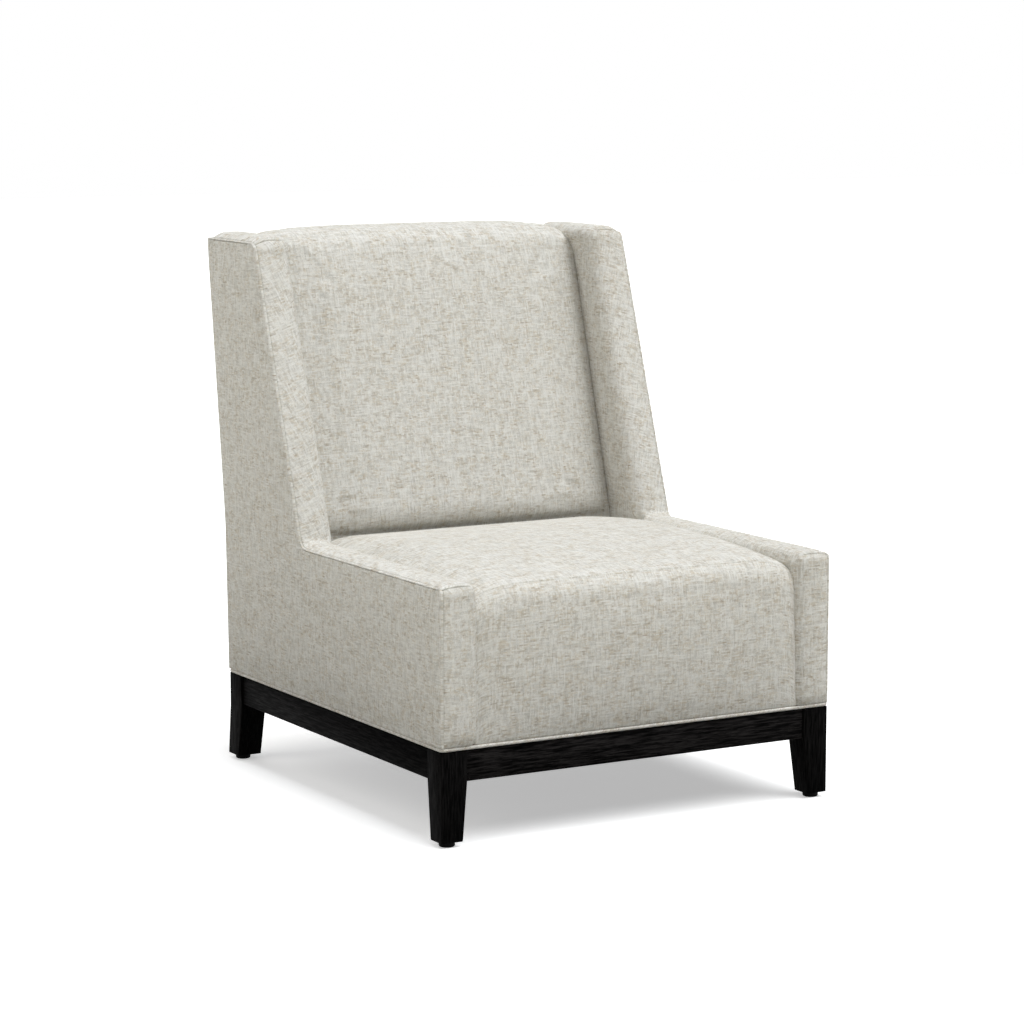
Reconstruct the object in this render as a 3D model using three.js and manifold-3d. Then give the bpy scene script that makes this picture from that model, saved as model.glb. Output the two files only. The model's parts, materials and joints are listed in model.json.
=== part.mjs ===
// A slipper chair with low arms and winged sides: an upholstered body bolted to a black wooden base.
// Lengths are in millimetres, +Z is up, the front faces -Y and +X is the sitter's left hand side.
// While it is built, Y is counted back from the flat front of the upholstery and Z up from the floor.
import * as THREE from 'three';
import { mergeVertices } from 'three/addons/utils/BufferGeometryUtils.js';
import Module from 'manifold-3d';

const wasm = await Module();
wasm.setup();

// Fits
const clearance = 0.3; // between pieces that rest on or pass each other
const overrun = 20; // how far a cutting solid reaches past what it cuts

// Main sizes of the upholstered body
const bodyWidth = 711;
const bodyDepth = 746; // front face to rear face at the welt
const armHeight = 398; // floor to the seam along the arm
const wingHeight = 881; // floor to the seam along the top of the wing
const sideThickness = 60; // each arm and wing, from outer face to inner face
const backBendRise = 12; // from the arm up to the bend in the rear face
const backBendSweep = 8; // from the rear face at the welt back to the bend
const backRake = 58; // from the bend back to the top of the rear face
const wingFootDepth = 275; // foot of the wing to the rear face at the welt
const wingTopDepth = 180; // top of the wing's front edge to the top of the rear face

// Covers: fabric with the quilted wadding behind it
const coverThickness = 5;

// Arm and wing forms
const facingCrown = 5;
const facingRollRadius = 16;
const wingTopRadius = 15;
const wingFootRadius = 13;
const armFrontRadius = 10;
const leastRadius = 1;
const sideBulge = 2.5;
const sideBulgeRims = [6, 40]; // how far in from the edge the outside panel starts and ends its swell

// Seat form
const backDepth = 191; // crevice behind the seat to the rear face at the welt
const seatFrontDrop = 3; // seams of the seat below the seam along the arm
const seatRearDrop = 1;
const seatCrown = 20;
const seatFrontBow = 4;
const seatFrontRadius = 30;
const seatRearRadius = 20;
const seatEndDrop = 20;
const seatEndRollWidth = 46;
const seatValleyDepth = 7;

// Back pad form
const backValleyLowLean = 19; // where the pad meets the wing, low: behind the crevice and above the arm
const backValleyLowRise = 1;
const backValleyHighDepth = 128; // the same, high up: before the top of the rear face and below the wing's top
const backValleyHighDrop = 91;
const backShoulderDrop = 16;
const backShoulderWidth = 34;
const backCrown = 8;
const backCrestRise = 4; // seam along the top of the back above the wing's top
const backCrestBow = 12;
const backCrestRadius = 42;

// Wooden frame inside the body
const sidePanelThickness = 18;
const edgePadding = 12; // foam over the edges of the side panel
const seatRailDepth = 38;
const seatRailHeight = 94;
const frontPadding = 14; // foam between the front cover and the seat's front rail
const backRailDepth = 32;
const backRailHeight = 50;
const lowerBackRailRise = 47; // from the arm up to the middle of the rail
const topBackRailDrop = 39; // from the wing's top down to the middle of the rail
const lowerBackRailInset = 68; // front of the rail before the rear face, with room for the pad
const topBackRailInset = 55;
const backBoardThickness = 3;

// Straps behind the back pad
const strapCount = 4;
const strapWidth = 50;
const strapThickness = 1.5;
const strapSpacing = 130;

// Springs under the seat
const springCount = 4;
const springSpacing = 138;
const springWireRadius = 2;
const springBars = 15;
const springHalfWidth = 38;
const springBarHalfLength = 16;
const springRise = 10;
const clipThickness = 1.5;
const clipLength = 18;
const clipTail = 14;
const insulatorThickness = 5;

// Wooden base
const baseHeight = 149; // floor to the top of the base
const legInset = 1.5; // outer faces of the legs behind the face of the upholstery
const legTopWidth = 45;
const legTopDepth = 44;
const legFootWidth = 37.5;
const legFootDepth = 35;
const legEdgeEase = 1;
const rearLegFlare = 9;
const rearLegKneeHeight = 92;
const baseRailHeight = 49;
const baseRailThickness = 22;
const baseRailSetback = 3.5; // behind the outer faces of the legs
const baseRailEase = 0.8;
const cornerBlockReach = 52; // along each rail, past the leg
const cornerBlockEndDepth = 26; // its end face, away from the leg
const cornerBlockHeight = 30;
const cornerBlockDrop = 6; // top of the block below the top of the base

// Glides, bolts, welt and dust cover
const glideRadius = 12.5;
const glideHeight = 8;
const glideEdgeRadius = 2.5;
const glideStemRadius = 2;
const glideStemLength = 12;
const boltRadius = 4;
const boltHeadRadius = 7;
const boltHeadHeight = 6;
const boltBite = 26; // how far the bolt reaches up into the seat rail
const boltInset = 34; // from the end of the corner block to the bolt
const boltOffRail = 9; // from the inner face of the base rail to the bolt
const weltRadius = 2.75;
const weltProud = 0.5; // past the face of the upholstery
const weltCornerRadius = 6;
const weltJoint = 0.5; // gap where the two ends of the welt meet
const dustCoverThickness = 1;
const dustCoverInset = 10;

// Counts of facets
const cornerSteps = 4;
const roundSides = 18;
const boltSides = 10;
const wireSides = 5;
const weltSides = 6;
const seatTopSteps = 6;
const seatFrontSteps = 4;
const crestSteps = 3;

const bendReachShare = 0.75; // how far a round bend reaches towards its two control points

// Places worked out from the sizes
const halfWidth = bodyWidth / 2;
const wingFootSetback = bodyDepth - wingFootDepth;
const backBendHeight = armHeight + backBendRise;
const backBendSetback = bodyDepth + backBendSweep;
const backTopSetback = backBendSetback + backRake;
const wingTopSetback = backTopSetback - wingTopDepth;
const seatDepth = bodyDepth - backDepth;
const seatFrontHeight = armHeight - seatFrontDrop;
const seatRearHeight = armHeight - seatRearDrop;
const backValleyLowSetback = seatDepth + backValleyLowLean;
const backValleyLowHeight = armHeight + backValleyLowRise;
const backValleyHighSetback = backTopSetback - backValleyHighDepth;
const backValleyHighHeight = wingHeight - backValleyHighDrop;
const backRearHeight = wingHeight + backCrestRise;
const lowerBackRailHeight = armHeight + lowerBackRailRise;
const topBackRailHeight = wingHeight - topBackRailDrop;
const upperRearSlope = backRake / (wingHeight - backBendHeight);
const rearSetbackAt = (height) => backBendSetback + (height - backBendHeight) * upperRearSlope;
const strapPlaneLowSetback = rearSetbackAt(lowerBackRailHeight) - lowerBackRailInset;
const strapPlaneHighSetback = rearSetbackAt(topBackRailHeight) - topBackRailInset;
const coverInset = coverThickness + clearance;
const innerFace = halfWidth - sideThickness;
const panelOuterFace = halfWidth - coverInset;
const panelInnerFace = panelOuterFace - sidePanelThickness;
const frameBottom = baseHeight + dustCoverThickness + 2 * clearance;
const weltCentreHeight = baseHeight + clearance + weltRadius;
const coverBottom = weltCentreHeight + weltRadius + clearance;
const seatRailTop = frameBottom + seatRailHeight;
const wireHeight = seatRailTop + 2 * clearance + clipThickness + springWireRadius;
const insulatorBottom = wireHeight + springRise + springWireRadius + clearance;
const deckHeight = insulatorBottom + insulatorThickness + clearance;
const rearInset = coverInset + backBoardThickness + clearance; // of what ends at the back board
const frontRailFace = coverInset + frontPadding + clearance;
const rearRailFace = bodyDepth - rearInset - clearance - seatRailDepth;
const strapLean = Math.atan2(
  strapPlaneHighSetback - strapPlaneLowSetback,
  topBackRailHeight - lowerBackRailHeight,
);
const legOuterX = halfWidth - legInset;
const rearLegRear = bodyDepth - legInset;
const glideX = legOuterX - legFootWidth / 2;
const frontGlideY = legInset + legFootDepth / 2;
const rearGlideY = rearLegRear + rearLegFlare - legFootDepth / 2;
const railBottom = baseHeight - baseRailHeight;
const sideRailOuterX = legOuterX - baseRailSetback;
const frontRailOuterY = legInset + baseRailSetback;
const rearRailOuterY = rearLegRear - baseRailSetback;

const fabric = { color: 0xd3d1ca, roughness: 0.95, metalness: 0 };
const foam = { color: 0xe9e2c4, roughness: 1, metalness: 0 };
const plywood = { color: 0xc9a878, roughness: 0.8, metalness: 0 };
const hardwood = { color: 0xb58d5f, roughness: 0.75, metalness: 0 };
const blackWood = { color: 0x14120f, roughness: 0.5, metalness: 0 };
const blackNylon = { color: 0x0d0d0e, roughness: 0.45, metalness: 0 };
const springSteel = { color: 0x6f7174, roughness: 0.4, metalness: 1 };
const zincSteel = { color: 0xa9abad, roughness: 0.35, metalness: 1 };
const webbing = { color: 0x2c2c2e, roughness: 0.9, metalness: 0 };
const felt = { color: 0x8d8a84, roughness: 1, metalness: 0 };
const cambric = { color: 0x17171a, roughness: 0.95, metalness: 0 };
const fibreboard = { color: 0x8a6b47, roughness: 0.85, metalness: 0 };

const chair = new THREE.Group();

function addPiece(name, geometry, look) {
  const mesh = new THREE.Mesh(geometry, new THREE.MeshStandardMaterial(look));
  mesh.name = name;
  chair.add(mesh);
  return mesh;
}

// Joining and cutting

function solidOf(geometry) {
  const bare = geometry.clone();
  bare.deleteAttribute('normal');
  bare.deleteAttribute('uv');
  const merged = mergeVertices(bare);
  const vertProperties = new Float32Array(merged.attributes.position.array);
  const triVerts = new Uint32Array(merged.index.array);
  return new wasm.Manifold(new wasm.Mesh({ numProp: 3, vertProperties, triVerts }));
}

function geometryOf(solid) {
  const { vertProperties, triVerts } = solid.getMesh();
  const geometry = new THREE.BufferGeometry();
  geometry.setAttribute('position', new THREE.BufferAttribute(new Float32Array(vertProperties), 3));
  geometry.setIndex(new THREE.BufferAttribute(new Uint32Array(triVerts), 1));
  geometry.computeVertexNormals();
  return geometry;
}

function cut(geometry, cutters) {
  const left = cutters.reduce((solid, cutter) => solid.subtract(solidOf(cutter)), solidOf(geometry));
  return geometryOf(left);
}

function mirrored(geometry) {
  const copy = geometry.clone();
  copy.scale(-1, 1, 1);
  const order = copy.index.array;
  for (let corner = 0; corner < order.length; corner += 3) {
    [order[corner], order[corner + 1]] = [order[corner + 1], order[corner]];
  }
  copy.computeVertexNormals();
  return copy;
}

// Pieces are modelled on the +X side; this gives the same piece for either side.
function onSide(geometry, side) {
  return side === 'left' ? mirrored(geometry) : geometry;
}

// Basic shapes

function boxBetween(low, high) {
  const size = high.map((value, axis) => value - low[axis]);
  const geometry = new THREE.BoxGeometry(...size);
  geometry.translate(...low.map((value, axis) => value + size[axis] / 2));
  return geometry;
}

function uprightCylinder(radius, low, high, sides) {
  const geometry = new THREE.CylinderGeometry(radius, radius, high - low, sides);
  geometry.rotateX(Math.PI / 2);
  geometry.translate(0, 0, (low + high) / 2);
  return geometry;
}

// A turned piece about the upright axis, from a profile of [radius, height] pairs.
function turned(profile, sides) {
  const points = profile.map(([radius, height]) => new THREE.Vector2(radius, height));
  const geometry = new THREE.LatheGeometry(points, sides);
  geometry.rotateX(Math.PI / 2);
  return geometry;
}

const acrossWidth = (y, z, x) => [x, y, z];
const upwards = (x, y, z) => [x, y, z];

// Skins rings of points, each at its place along the third direction, into one closed solid.
function loft(sections, place) {
  const count = sections[0].ring.length;
  const placed = ({ at, ring }) => ring.flatMap((point) => place(point.x, point.y, at));
  const positions = sections.flatMap(placed);
  const order = [];
  for (let section = 0; section < sections.length - 1; section += 1) {
    for (let point = 0; point < count; point += 1) {
      const next = (point + 1) % count;
      const near = section * count;
      const far = near + count;
      order.push(near + point, near + next, far + next);
      order.push(near + point, far + next, far + point);
    }
  }
  const last = (sections.length - 1) * count;
  for (const [a, b, c] of THREE.ShapeUtils.triangulateShape(sections[0].ring, [])) {
    order.push(a, c, b);
  }
  for (const [a, b, c] of THREE.ShapeUtils.triangulateShape(sections.at(-1).ring, [])) {
    order.push(last + a, last + b, last + c);
  }
  const geometry = new THREE.BufferGeometry();
  geometry.setAttribute('position', new THREE.Float32BufferAttribute(positions, 3));
  geometry.setIndex(order);
  geometry.computeVertexNormals();
  return geometry;
}

// A round section carried along a path that lies nearly level. Straight runs have rings at their ends only.
function levelTube(path, radius, sides) {
  const upright = new THREE.Vector3(0, 0, 1);
  const section = [];
  for (let side = 0; side < sides; side += 1) {
    const angle = (2 * Math.PI * side) / sides;
    section.push(new THREE.Vector2(radius * Math.cos(angle), radius * Math.sin(angle)));
  }
  const places = path.curves.flatMap((curve) => {
    const steps = curve.isLineCurve3 ? 1 : cornerSteps;
    return curve.getPoints(steps).map((point, step) => {
      const aside = new THREE.Vector3().crossVectors(upright, curve.getTangent(step / steps)).normalize();
      return { point, aside };
    });
  });
  const isNew = ({ point }, index) => index === 0 || point.distanceTo(places[index - 1].point) > clearance;
  const sections = places.filter(isNew).map((at) => ({ at, ring: section }));
  const onPath = (across, rise, { point, aside }) =>
    point.clone().addScaledVector(aside, across).addScaledVector(upright, rise).toArray();
  return loft(sections, onPath);
}

// Outlines
// An outline is a chain of straight sides walked with the solid on the left. A side is a line through
// a point at a heading, shifted outwards, and may swell between two of its points. The corner at its
// start is rounded, inwards or outwards as the outline turns.

function headingTo(from, to) {
  return new THREE.Vector2().subVectors(to, from).normalize();
}

function crossing(first, second) {
  const between = new THREE.Vector2().subVectors(second.point, first.point);
  const along = between.cross(second.heading) / first.heading.cross(second.heading);
  return first.point.clone().addScaledVector(first.heading, along);
}

function roundedCorner(before, after, radius) {
  const corner = crossing(before, after);
  if (radius === 0) {
    return [corner];
  }
  const turn = Math.atan2(before.heading.cross(after.heading), before.heading.dot(after.heading));
  const reach = radius * Math.tan(Math.abs(turn) / 2);
  const start = corner.clone().addScaledVector(before.heading, -reach);
  const centre = start.clone().addScaledVector(before.outward, -radius * Math.sign(turn));
  const points = [];
  for (let step = 0; step <= cornerSteps; step += 1) {
    points.push(start.clone().rotateAround(centre, (turn * step) / cornerSteps));
  }
  return points;
}

function outline(sides) {
  const lines = sides.map(({ through, heading, shift = 0 }) => {
    const outward = new THREE.Vector2(heading.y, -heading.x);
    return { heading, outward, point: through.clone().addScaledVector(outward, shift) };
  });
  const corners = lines.map((line, index) => {
    const { radius = 0 } = sides[index];
    return roundedCorner(lines.at(index - 1), line, radius);
  });
  return sides.flatMap(({ swell, shift = 0 }, index) => {
    const between = swell ? swollenPoints(swell, shift, lines[index].outward) : [];
    return [...corners[index], ...between];
  });
}

// Points along a swollen side. They keep their places when the side is shifted or cut short.
function swollenPoints({ from, to, bow, steps }, shift, outward) {
  const points = [];
  for (let step = 1; step < steps; step += 1) {
    const share = step / steps;
    const rise = shift + 4 * bow * share * (1 - share);
    points.push(from.clone().lerp(to, share).addScaledVector(outward, rise));
  }
  return points;
}

const towardsRear = new THREE.Vector2(1, 0);
const towardsFront = new THREE.Vector2(-1, 0);
const up = new THREE.Vector2(0, 1);
const down = new THREE.Vector2(0, -1);

const rearFoot = new THREE.Vector2(bodyDepth, coverBottom);
const rearBend = new THREE.Vector2(backBendSetback, backBendHeight);
const rearTop = new THREE.Vector2(backTopSetback, wingHeight);
const lowerRear = headingTo(rearFoot, rearBend);
const upperRear = headingTo(rearBend, rearTop);

function outwardRadius(radius, shift) {
  return Math.max(radius + shift, leastRadius);
}

// The outline of an arm and wing, seen from the side. The padded edges move out by facing.
function sideOutline({ facing, rear, bottom }) {
  const wingFoot = new THREE.Vector2(wingFootSetback, armHeight);
  const wingTop = new THREE.Vector2(wingTopSetback, wingHeight);
  return outline([
    { through: new THREE.Vector2(0, bottom), heading: towardsRear },
    { through: rearFoot, heading: lowerRear, shift: rear },
    { through: rearBend, heading: upperRear, shift: rear },
    { through: wingTop, heading: towardsFront, shift: facing },
    {
      through: wingTop,
      heading: headingTo(wingTop, wingFoot),
      shift: facing,
      radius: outwardRadius(wingTopRadius, facing),
    },
    {
      through: wingFoot,
      heading: towardsFront,
      shift: facing,
      radius: outwardRadius(wingFootRadius, -facing),
    },
    {
      through: new THREE.Vector2(0, bottom),
      heading: down,
      shift: facing,
      radius: outwardRadius(armFrontRadius, facing),
    },
  ]);
}

// Arms and wings

// The padded form of one arm and wing, inset from its skin, from the outer panel to the inner face.
// Its facing is crowned, and rolls over into the inner face without a seam.
function sideForm({ inset, outerFace, rear, bottom }) {
  const rollStart = sideThickness - facingRollRadius;
  const crownStarts = [halfWidth - outerFace, facingRollRadius / 2, sideThickness / 2];
  const crownAt = (distance) => facingCrown * Math.sin((Math.PI * distance) / sideThickness);
  const stations = crownStarts.map((distance) => ({ distance, facing: crownAt(distance) - inset }));
  for (let step = 0; step <= cornerSteps; step += 1) {
    const angle = (Math.PI / 2) * (step / cornerSteps);
    const rollRadius = facingRollRadius - inset;
    const distance = rollStart + rollRadius * Math.sin(angle);
    const facing = crownAt(distance) - facingRollRadius + rollRadius * Math.cos(angle);
    stations.push({ distance, facing });
  }
  const sections = stations.map(({ distance, facing }) => ({
    at: halfWidth - distance,
    ring: sideOutline({ facing, rear, bottom }),
  }));
  return loft(sections.reverse(), acrossWidth);
}

function backRail(height) {
  const middle = (height - lowerBackRailHeight) * Math.tan(strapLean) + strapPlaneLowSetback;
  return { height, setback: middle };
}

function backRailSolid(rail, grow) {
  const half = panelInnerFace - clearance + grow;
  const front = strapThickness + 2 * clearance - grow;
  const rear = strapThickness + 2 * clearance + backRailDepth + grow;
  const rise = backRailHeight / 2 + grow;
  const geometry = boxBetween([-half, front, -rise], [half, rear, rise]);
  geometry.rotateX(-strapLean);
  geometry.translate(0, rail.setback, rail.height);
  return geometry;
}

const lowerBackRail = backRail(lowerBackRailHeight);
const topBackRail = backRail(topBackRailHeight);
const backRailCuts = [backRailSolid(lowerBackRail, clearance), backRailSolid(topBackRail, clearance)];

// Below the seat deck and behind the front padding, only the frame and springs take up the width.
const underDeck = boxBetween(
  [-panelInnerFace + clearance, frontRailFace - clearance, frameBottom - overrun],
  [panelInnerFace - clearance, bodyDepth + overrun, deckHeight],
);

// The welt lies in front of the padding's lowest edge.
const weltChannel = boxBetween(
  [-bodyWidth, -overrun, frameBottom - overrun],
  [bodyWidth, coverInset + weltRadius / 2, coverBottom],
);

function sidePanelOutline(grow) {
  return sideOutline({
    facing: grow - coverInset - edgePadding,
    rear: -rearInset,
    bottom: frameBottom,
  });
}

function sidePanelCut() {
  const ring = sideOutline({
    facing: clearance - coverInset - edgePadding,
    rear: overrun,
    bottom: frameBottom - overrun,
  });
  const sections = [
    { at: panelInnerFace - clearance, ring },
    { at: panelOuterFace + overrun, ring },
  ];
  return loft(sections, acrossWidth);
}

function sidePanelGeometry() {
  const ring = sidePanelOutline(0);
  return loft([{ at: panelInnerFace, ring }, { at: panelOuterFace, ring }], acrossWidth);
}

function sidePadGeometry() {
  const form = sideForm({
    inset: coverInset,
    outerFace: panelOuterFace,
    rear: -rearInset,
    bottom: frameBottom,
  });
  return cut(form, [sidePanelCut(), underDeck, weltChannel, ...backRailCuts]);
}

function sideCoverGeometry() {
  const skin = sideForm({ inset: 0, outerFace: panelOuterFace, rear: -rearInset, bottom: coverBottom });
  const hollow = sideForm({
    inset: coverThickness,
    outerFace: panelOuterFace + overrun,
    rear: overrun,
    bottom: coverBottom - overrun,
  });
  return cut(skin, [hollow, underDeck, ...backRailCuts]);
}

function outsideCoverGeometry() {
  const ringAt = (facing, rear) => sideOutline({ facing, rear, bottom: coverBottom });
  const [edgeRim, swellRim] = sideBulgeRims;
  const sections = [
    { at: panelOuterFace + clearance, ring: ringAt(0, 0) },
    { at: halfWidth, ring: ringAt(0, 0) },
    { at: halfWidth + sideBulge / 2, ring: ringAt(-edgeRim, -edgeRim) },
    { at: halfWidth + sideBulge, ring: ringAt(-swellRim, -swellRim) },
  ];
  return loft(sections, acrossWidth);
}

function addSides() {
  for (const side of ['left', 'right']) {
    addPiece(`${side}_side_frame`, onSide(sidePanelGeometry(), side), plywood);
    addPiece(`${side}_side_pad`, onSide(sidePadGeometry(), side), foam);
    addPiece(`${side}_side_cover`, onSide(sideCoverGeometry(), side), fabric);
    addPiece(`${side}_outside_cover`, onSide(outsideCoverGeometry(), side), fabric);
  }
}

// Cushion sections across the width

// How far a cushion's skin falls at its ends, as a share of the whole fall there.
function endRollShare(x, half, rollWidth) {
  const into = Math.max(0, (Math.abs(x) - (half - rollWidth)) / rollWidth);
  return 1 - Math.sqrt(Math.max(0, 1 - into * into));
}

const endStationShares = [0, 0.3, 0.6, 0.85, 1];
const middleStationShares = [-1, -0.5, 0, 0.5, 1];

// Places across the width: close together where the ends roll over, wide apart between them.
function stationsAcross(half, rollWidth) {
  const flat = half - rollWidth;
  const rightEnd = endStationShares.slice(1).map((share) => flat + share * rollWidth);
  const middle = middleStationShares.map((share) => share * flat);
  return [...rightEnd.map((x) => -x).reverse(), ...middle, ...rightEnd];
}

function crownShare(x, half) {
  return 1 - (x / half) ** 2;
}

// Seat

function seatOutline({ x, inset, rear, bottom }) {
  const half = innerFace - clearance;
  const fall = endRollShare(x, half, seatEndRollWidth);
  const topShift = -seatEndDrop * fall - inset;
  const frontShift = -seatValleyDepth * fall - inset;
  const frontBow = seatFrontBow * crownShare(x, half);
  const topRear = new THREE.Vector2(seatDepth, seatRearHeight);
  const topFront = new THREE.Vector2(0, seatFrontHeight);
  const shoulder = new THREE.Vector2(0, seatFrontHeight - seatEndDrop - seatFrontRadius);
  const bottomFront = new THREE.Vector2(0, coverBottom);
  return outline([
    { through: new THREE.Vector2(0, bottom), heading: towardsRear },
    { through: topRear, heading: up, shift: rear },
    {
      through: topRear,
      heading: headingTo(topRear, topFront),
      shift: topShift,
      radius: seatRearRadius,
      swell: { from: topRear, to: topFront, bow: seatCrown * (1 - fall / 2), steps: seatTopSteps },
    },
    {
      through: new THREE.Vector2(0, bottom),
      heading: down,
      shift: frontShift,
      radius: outwardRadius(seatFrontRadius, -inset),
      swell: { from: shoulder, to: bottomFront, bow: frontBow, steps: seatFrontSteps },
    },
  ]);
}

function seatForm({ inset, rear, bottom }) {
  const half = innerFace - clearance;
  const reach = (half - inset) / half;
  const sections = stationsAcross(half, seatEndRollWidth).map((x) => ({
    at: x * reach,
    ring: seatOutline({ x, inset, rear, bottom }),
  }));
  return loft(sections, acrossWidth);
}

function addSeat() {
  const skin = seatForm({ inset: 0, rear: 0, bottom: coverBottom });
  const hollow = seatForm({ inset: coverThickness, rear: overrun, bottom: coverBottom - overrun });
  addPiece('seat_cover', cut(skin, [hollow, underDeck]), fabric);
  const pad = seatForm({ inset: coverInset, rear: 0, bottom: frameBottom });
  addPiece('seat_foam', cut(pad, [underDeck, weltChannel]), foam);
}

// Back

const backLow = new THREE.Vector2(backValleyLowSetback - backShoulderDrop, backValleyLowHeight);
const backHigh = new THREE.Vector2(backValleyHighSetback - backShoulderDrop, backValleyHighHeight);
const crestRear = new THREE.Vector2(backTopSetback, backRearHeight);
const crestFront = crossing(
  { point: crestRear, heading: towardsFront },
  { point: backHigh, heading: headingTo(backHigh, backLow) },
);
const strapLow = new THREE.Vector2(strapPlaneLowSetback, lowerBackRailHeight);
const strapHigh = new THREE.Vector2(strapPlaneHighSetback, topBackRailHeight);
const topRailCrest = topBackRailHeight + (backRailHeight / 2 + clearance) * Math.cos(strapLean);

// The back pad stands on the deck behind the seat, leans on the straps and folds over the top rail.
function backOutline({ x, inset, hidden }) {
  const half = innerFace - clearance;
  const drop = backShoulderDrop * endRollShare(x, half, backShoulderWidth);
  const lift = backCrown * crownShare(x, half) - drop;
  const crestBow = backCrestBow * crownShare(x, half);
  const tuck = new THREE.Vector2(seatDepth + clearance, deckHeight);
  return outline([
    { through: tuck, heading: towardsRear, shift: hidden },
    { through: strapLow, heading: headingTo(strapLow, strapHigh), shift: hidden },
    { through: new THREE.Vector2(0, topRailCrest), heading: towardsRear, shift: hidden },
    { through: rearBend, heading: upperRear, shift: hidden - rearInset },
    {
      through: crestRear,
      heading: towardsFront,
      shift: (lift - backCrown) / 2 - inset,
      swell: { from: crestRear, to: crestFront, bow: crestBow, steps: crestSteps },
    },
    {
      through: backHigh,
      heading: headingTo(backHigh, backLow),
      shift: lift - inset,
      radius: outwardRadius(backCrestRadius, lift - inset),
    },
    { through: tuck, heading: down, shift: -drop - inset },
  ]);
}

function backForm({ inset, hidden }) {
  const half = innerFace - clearance;
  const reach = (half - inset) / half;
  const sections = stationsAcross(half, backShoulderWidth).map((x) => ({
    at: x * reach,
    ring: backOutline({ x, inset, hidden }),
  }));
  return loft(sections, acrossWidth);
}

function addBack() {
  const skin = backForm({ inset: 0, hidden: 0 });
  const hollow = backForm({ inset: coverThickness, hidden: overrun });
  addPiece('back_cover', cut(skin, [hollow, ...backRailCuts]), fabric);
  addPiece('back_foam', backForm({ inset: coverInset, hidden: 0 }), foam);
  addPiece('lower_back_rail', backRailSolid(lowerBackRail, 0), hardwood);
  addPiece('top_back_rail', backRailSolid(topBackRail, 0), hardwood);
}

function addStraps() {
  const slope = Math.tan(strapLean);
  const middleHeight = (lowerBackRailHeight + topBackRailHeight) / 2;
  const middleSetback = strapPlaneLowSetback + (middleHeight - lowerBackRailHeight) * slope;
  const length = (topBackRailHeight - lowerBackRailHeight) / Math.cos(strapLean) + backRailHeight;
  for (let index = 0; index < strapCount; index += 1) {
    const geometry = new THREE.BoxGeometry(strapWidth, strapThickness, length);
    const strap = addPiece(`back_strap_${index + 1}`, geometry, webbing);
    strap.rotation.x = -strapLean;
    strap.position.set(
      (index - (strapCount - 1) / 2) * strapSpacing,
      middleSetback + (clearance + strapThickness / 2) * Math.cos(strapLean),
      middleHeight - (clearance + strapThickness / 2) * Math.sin(strapLean),
    );
  }
}

// The rear outline from the foot up to a height, as two bent lines a thickness apart.
function rearSheet({ halfLength, outer, thickness, bottom, top }) {
  const innerShift = outer - thickness;
  const ring = outline([
    { through: new THREE.Vector2(0, bottom), heading: towardsRear },
    { through: rearFoot, heading: lowerRear, shift: outer },
    { through: rearBend, heading: upperRear, shift: outer },
    { through: new THREE.Vector2(0, top), heading: towardsFront },
    { through: rearBend, heading: upperRear.clone().negate(), shift: -innerShift },
    { through: rearFoot, heading: lowerRear.clone().negate(), shift: -innerShift },
  ]);
  return loft([{ at: -halfLength, ring }, { at: halfLength, ring }], acrossWidth);
}

function addOutsideBack() {
  const board = rearSheet({
    halfLength: panelOuterFace - weltRadius,
    outer: -coverInset,
    thickness: backBoardThickness,
    bottom: frameBottom,
    top: wingHeight - coverInset,
  });
  const cover = rearSheet({
    halfLength: panelOuterFace,
    outer: 0,
    thickness: coverThickness,
    bottom: coverBottom,
    top: wingHeight,
  });
  addPiece('outside_back_board', board, fibreboard);
  addPiece('outside_back_cover', cover, fabric);
}

// Seat rails, springs and deck

const cornerBlockEnd = legOuterX - Math.max(legTopWidth, legTopDepth) - cornerBlockReach;
const boltX = cornerBlockEnd + boltInset;
const frontBoltY = frontRailOuterY + baseRailThickness + boltOffRail;
const rearBoltY = rearRailOuterY - baseRailThickness - boltOffRail;

function boltHole(x, y, low, high) {
  const hole = uprightCylinder(boltRadius + clearance, low, high, boltSides);
  hole.translate(x, y, 0);
  return hole;
}

function addSeatRails() {
  const half = panelInnerFace - clearance;
  const places = [
    ['seat_front_rail', frontRailFace, frontBoltY],
    ['seat_rear_rail', rearRailFace, rearBoltY],
  ];
  for (const [name, face, boltY] of places) {
    const rail = boxBetween([-half, face, frameBottom], [half, face + seatRailDepth, seatRailTop]);
    const top = frameBottom + boltBite + clearance;
    const holes = [-boltX, boltX].map((x) => boltHole(x, boltY, frameBottom - overrun, top));
    addPiece(name, cut(rail, holes), hardwood);
  }
}

// The wire crosses from side to side on level bars joined by round bends, and arches up on the way back.
function springPath(frontBar, rearBar) {
  const path = new THREE.CurvePath();
  const pitch = (rearBar - frontBar) / (springBars - 1);
  const bendPull = springBarHalfLength + (springHalfWidth - springBarHalfLength) / bendReachShare;
  const riseAt = (y) => {
    const share = (y - frontBar) / (rearBar - frontBar);
    return wireHeight + springRise * Math.sin(Math.PI * share);
  };
  for (let bar = 0; bar < springBars; bar += 1) {
    const hand = bar % 2 === 0 ? 1 : -1;
    const y = frontBar + bar * pitch;
    const at = (x, back) => new THREE.Vector3(hand * x, back, riseAt(back));
    path.add(new THREE.LineCurve3(at(-springBarHalfLength, y), at(springBarHalfLength, y)));
    if (bar < springBars - 1) {
      const start = at(springBarHalfLength, y);
      const end = at(springBarHalfLength, y + pitch);
      path.add(new THREE.CubicBezierCurve3(start, at(bendPull, y), at(bendPull, y + pitch), end));
    }
  }
  return path;
}

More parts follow.
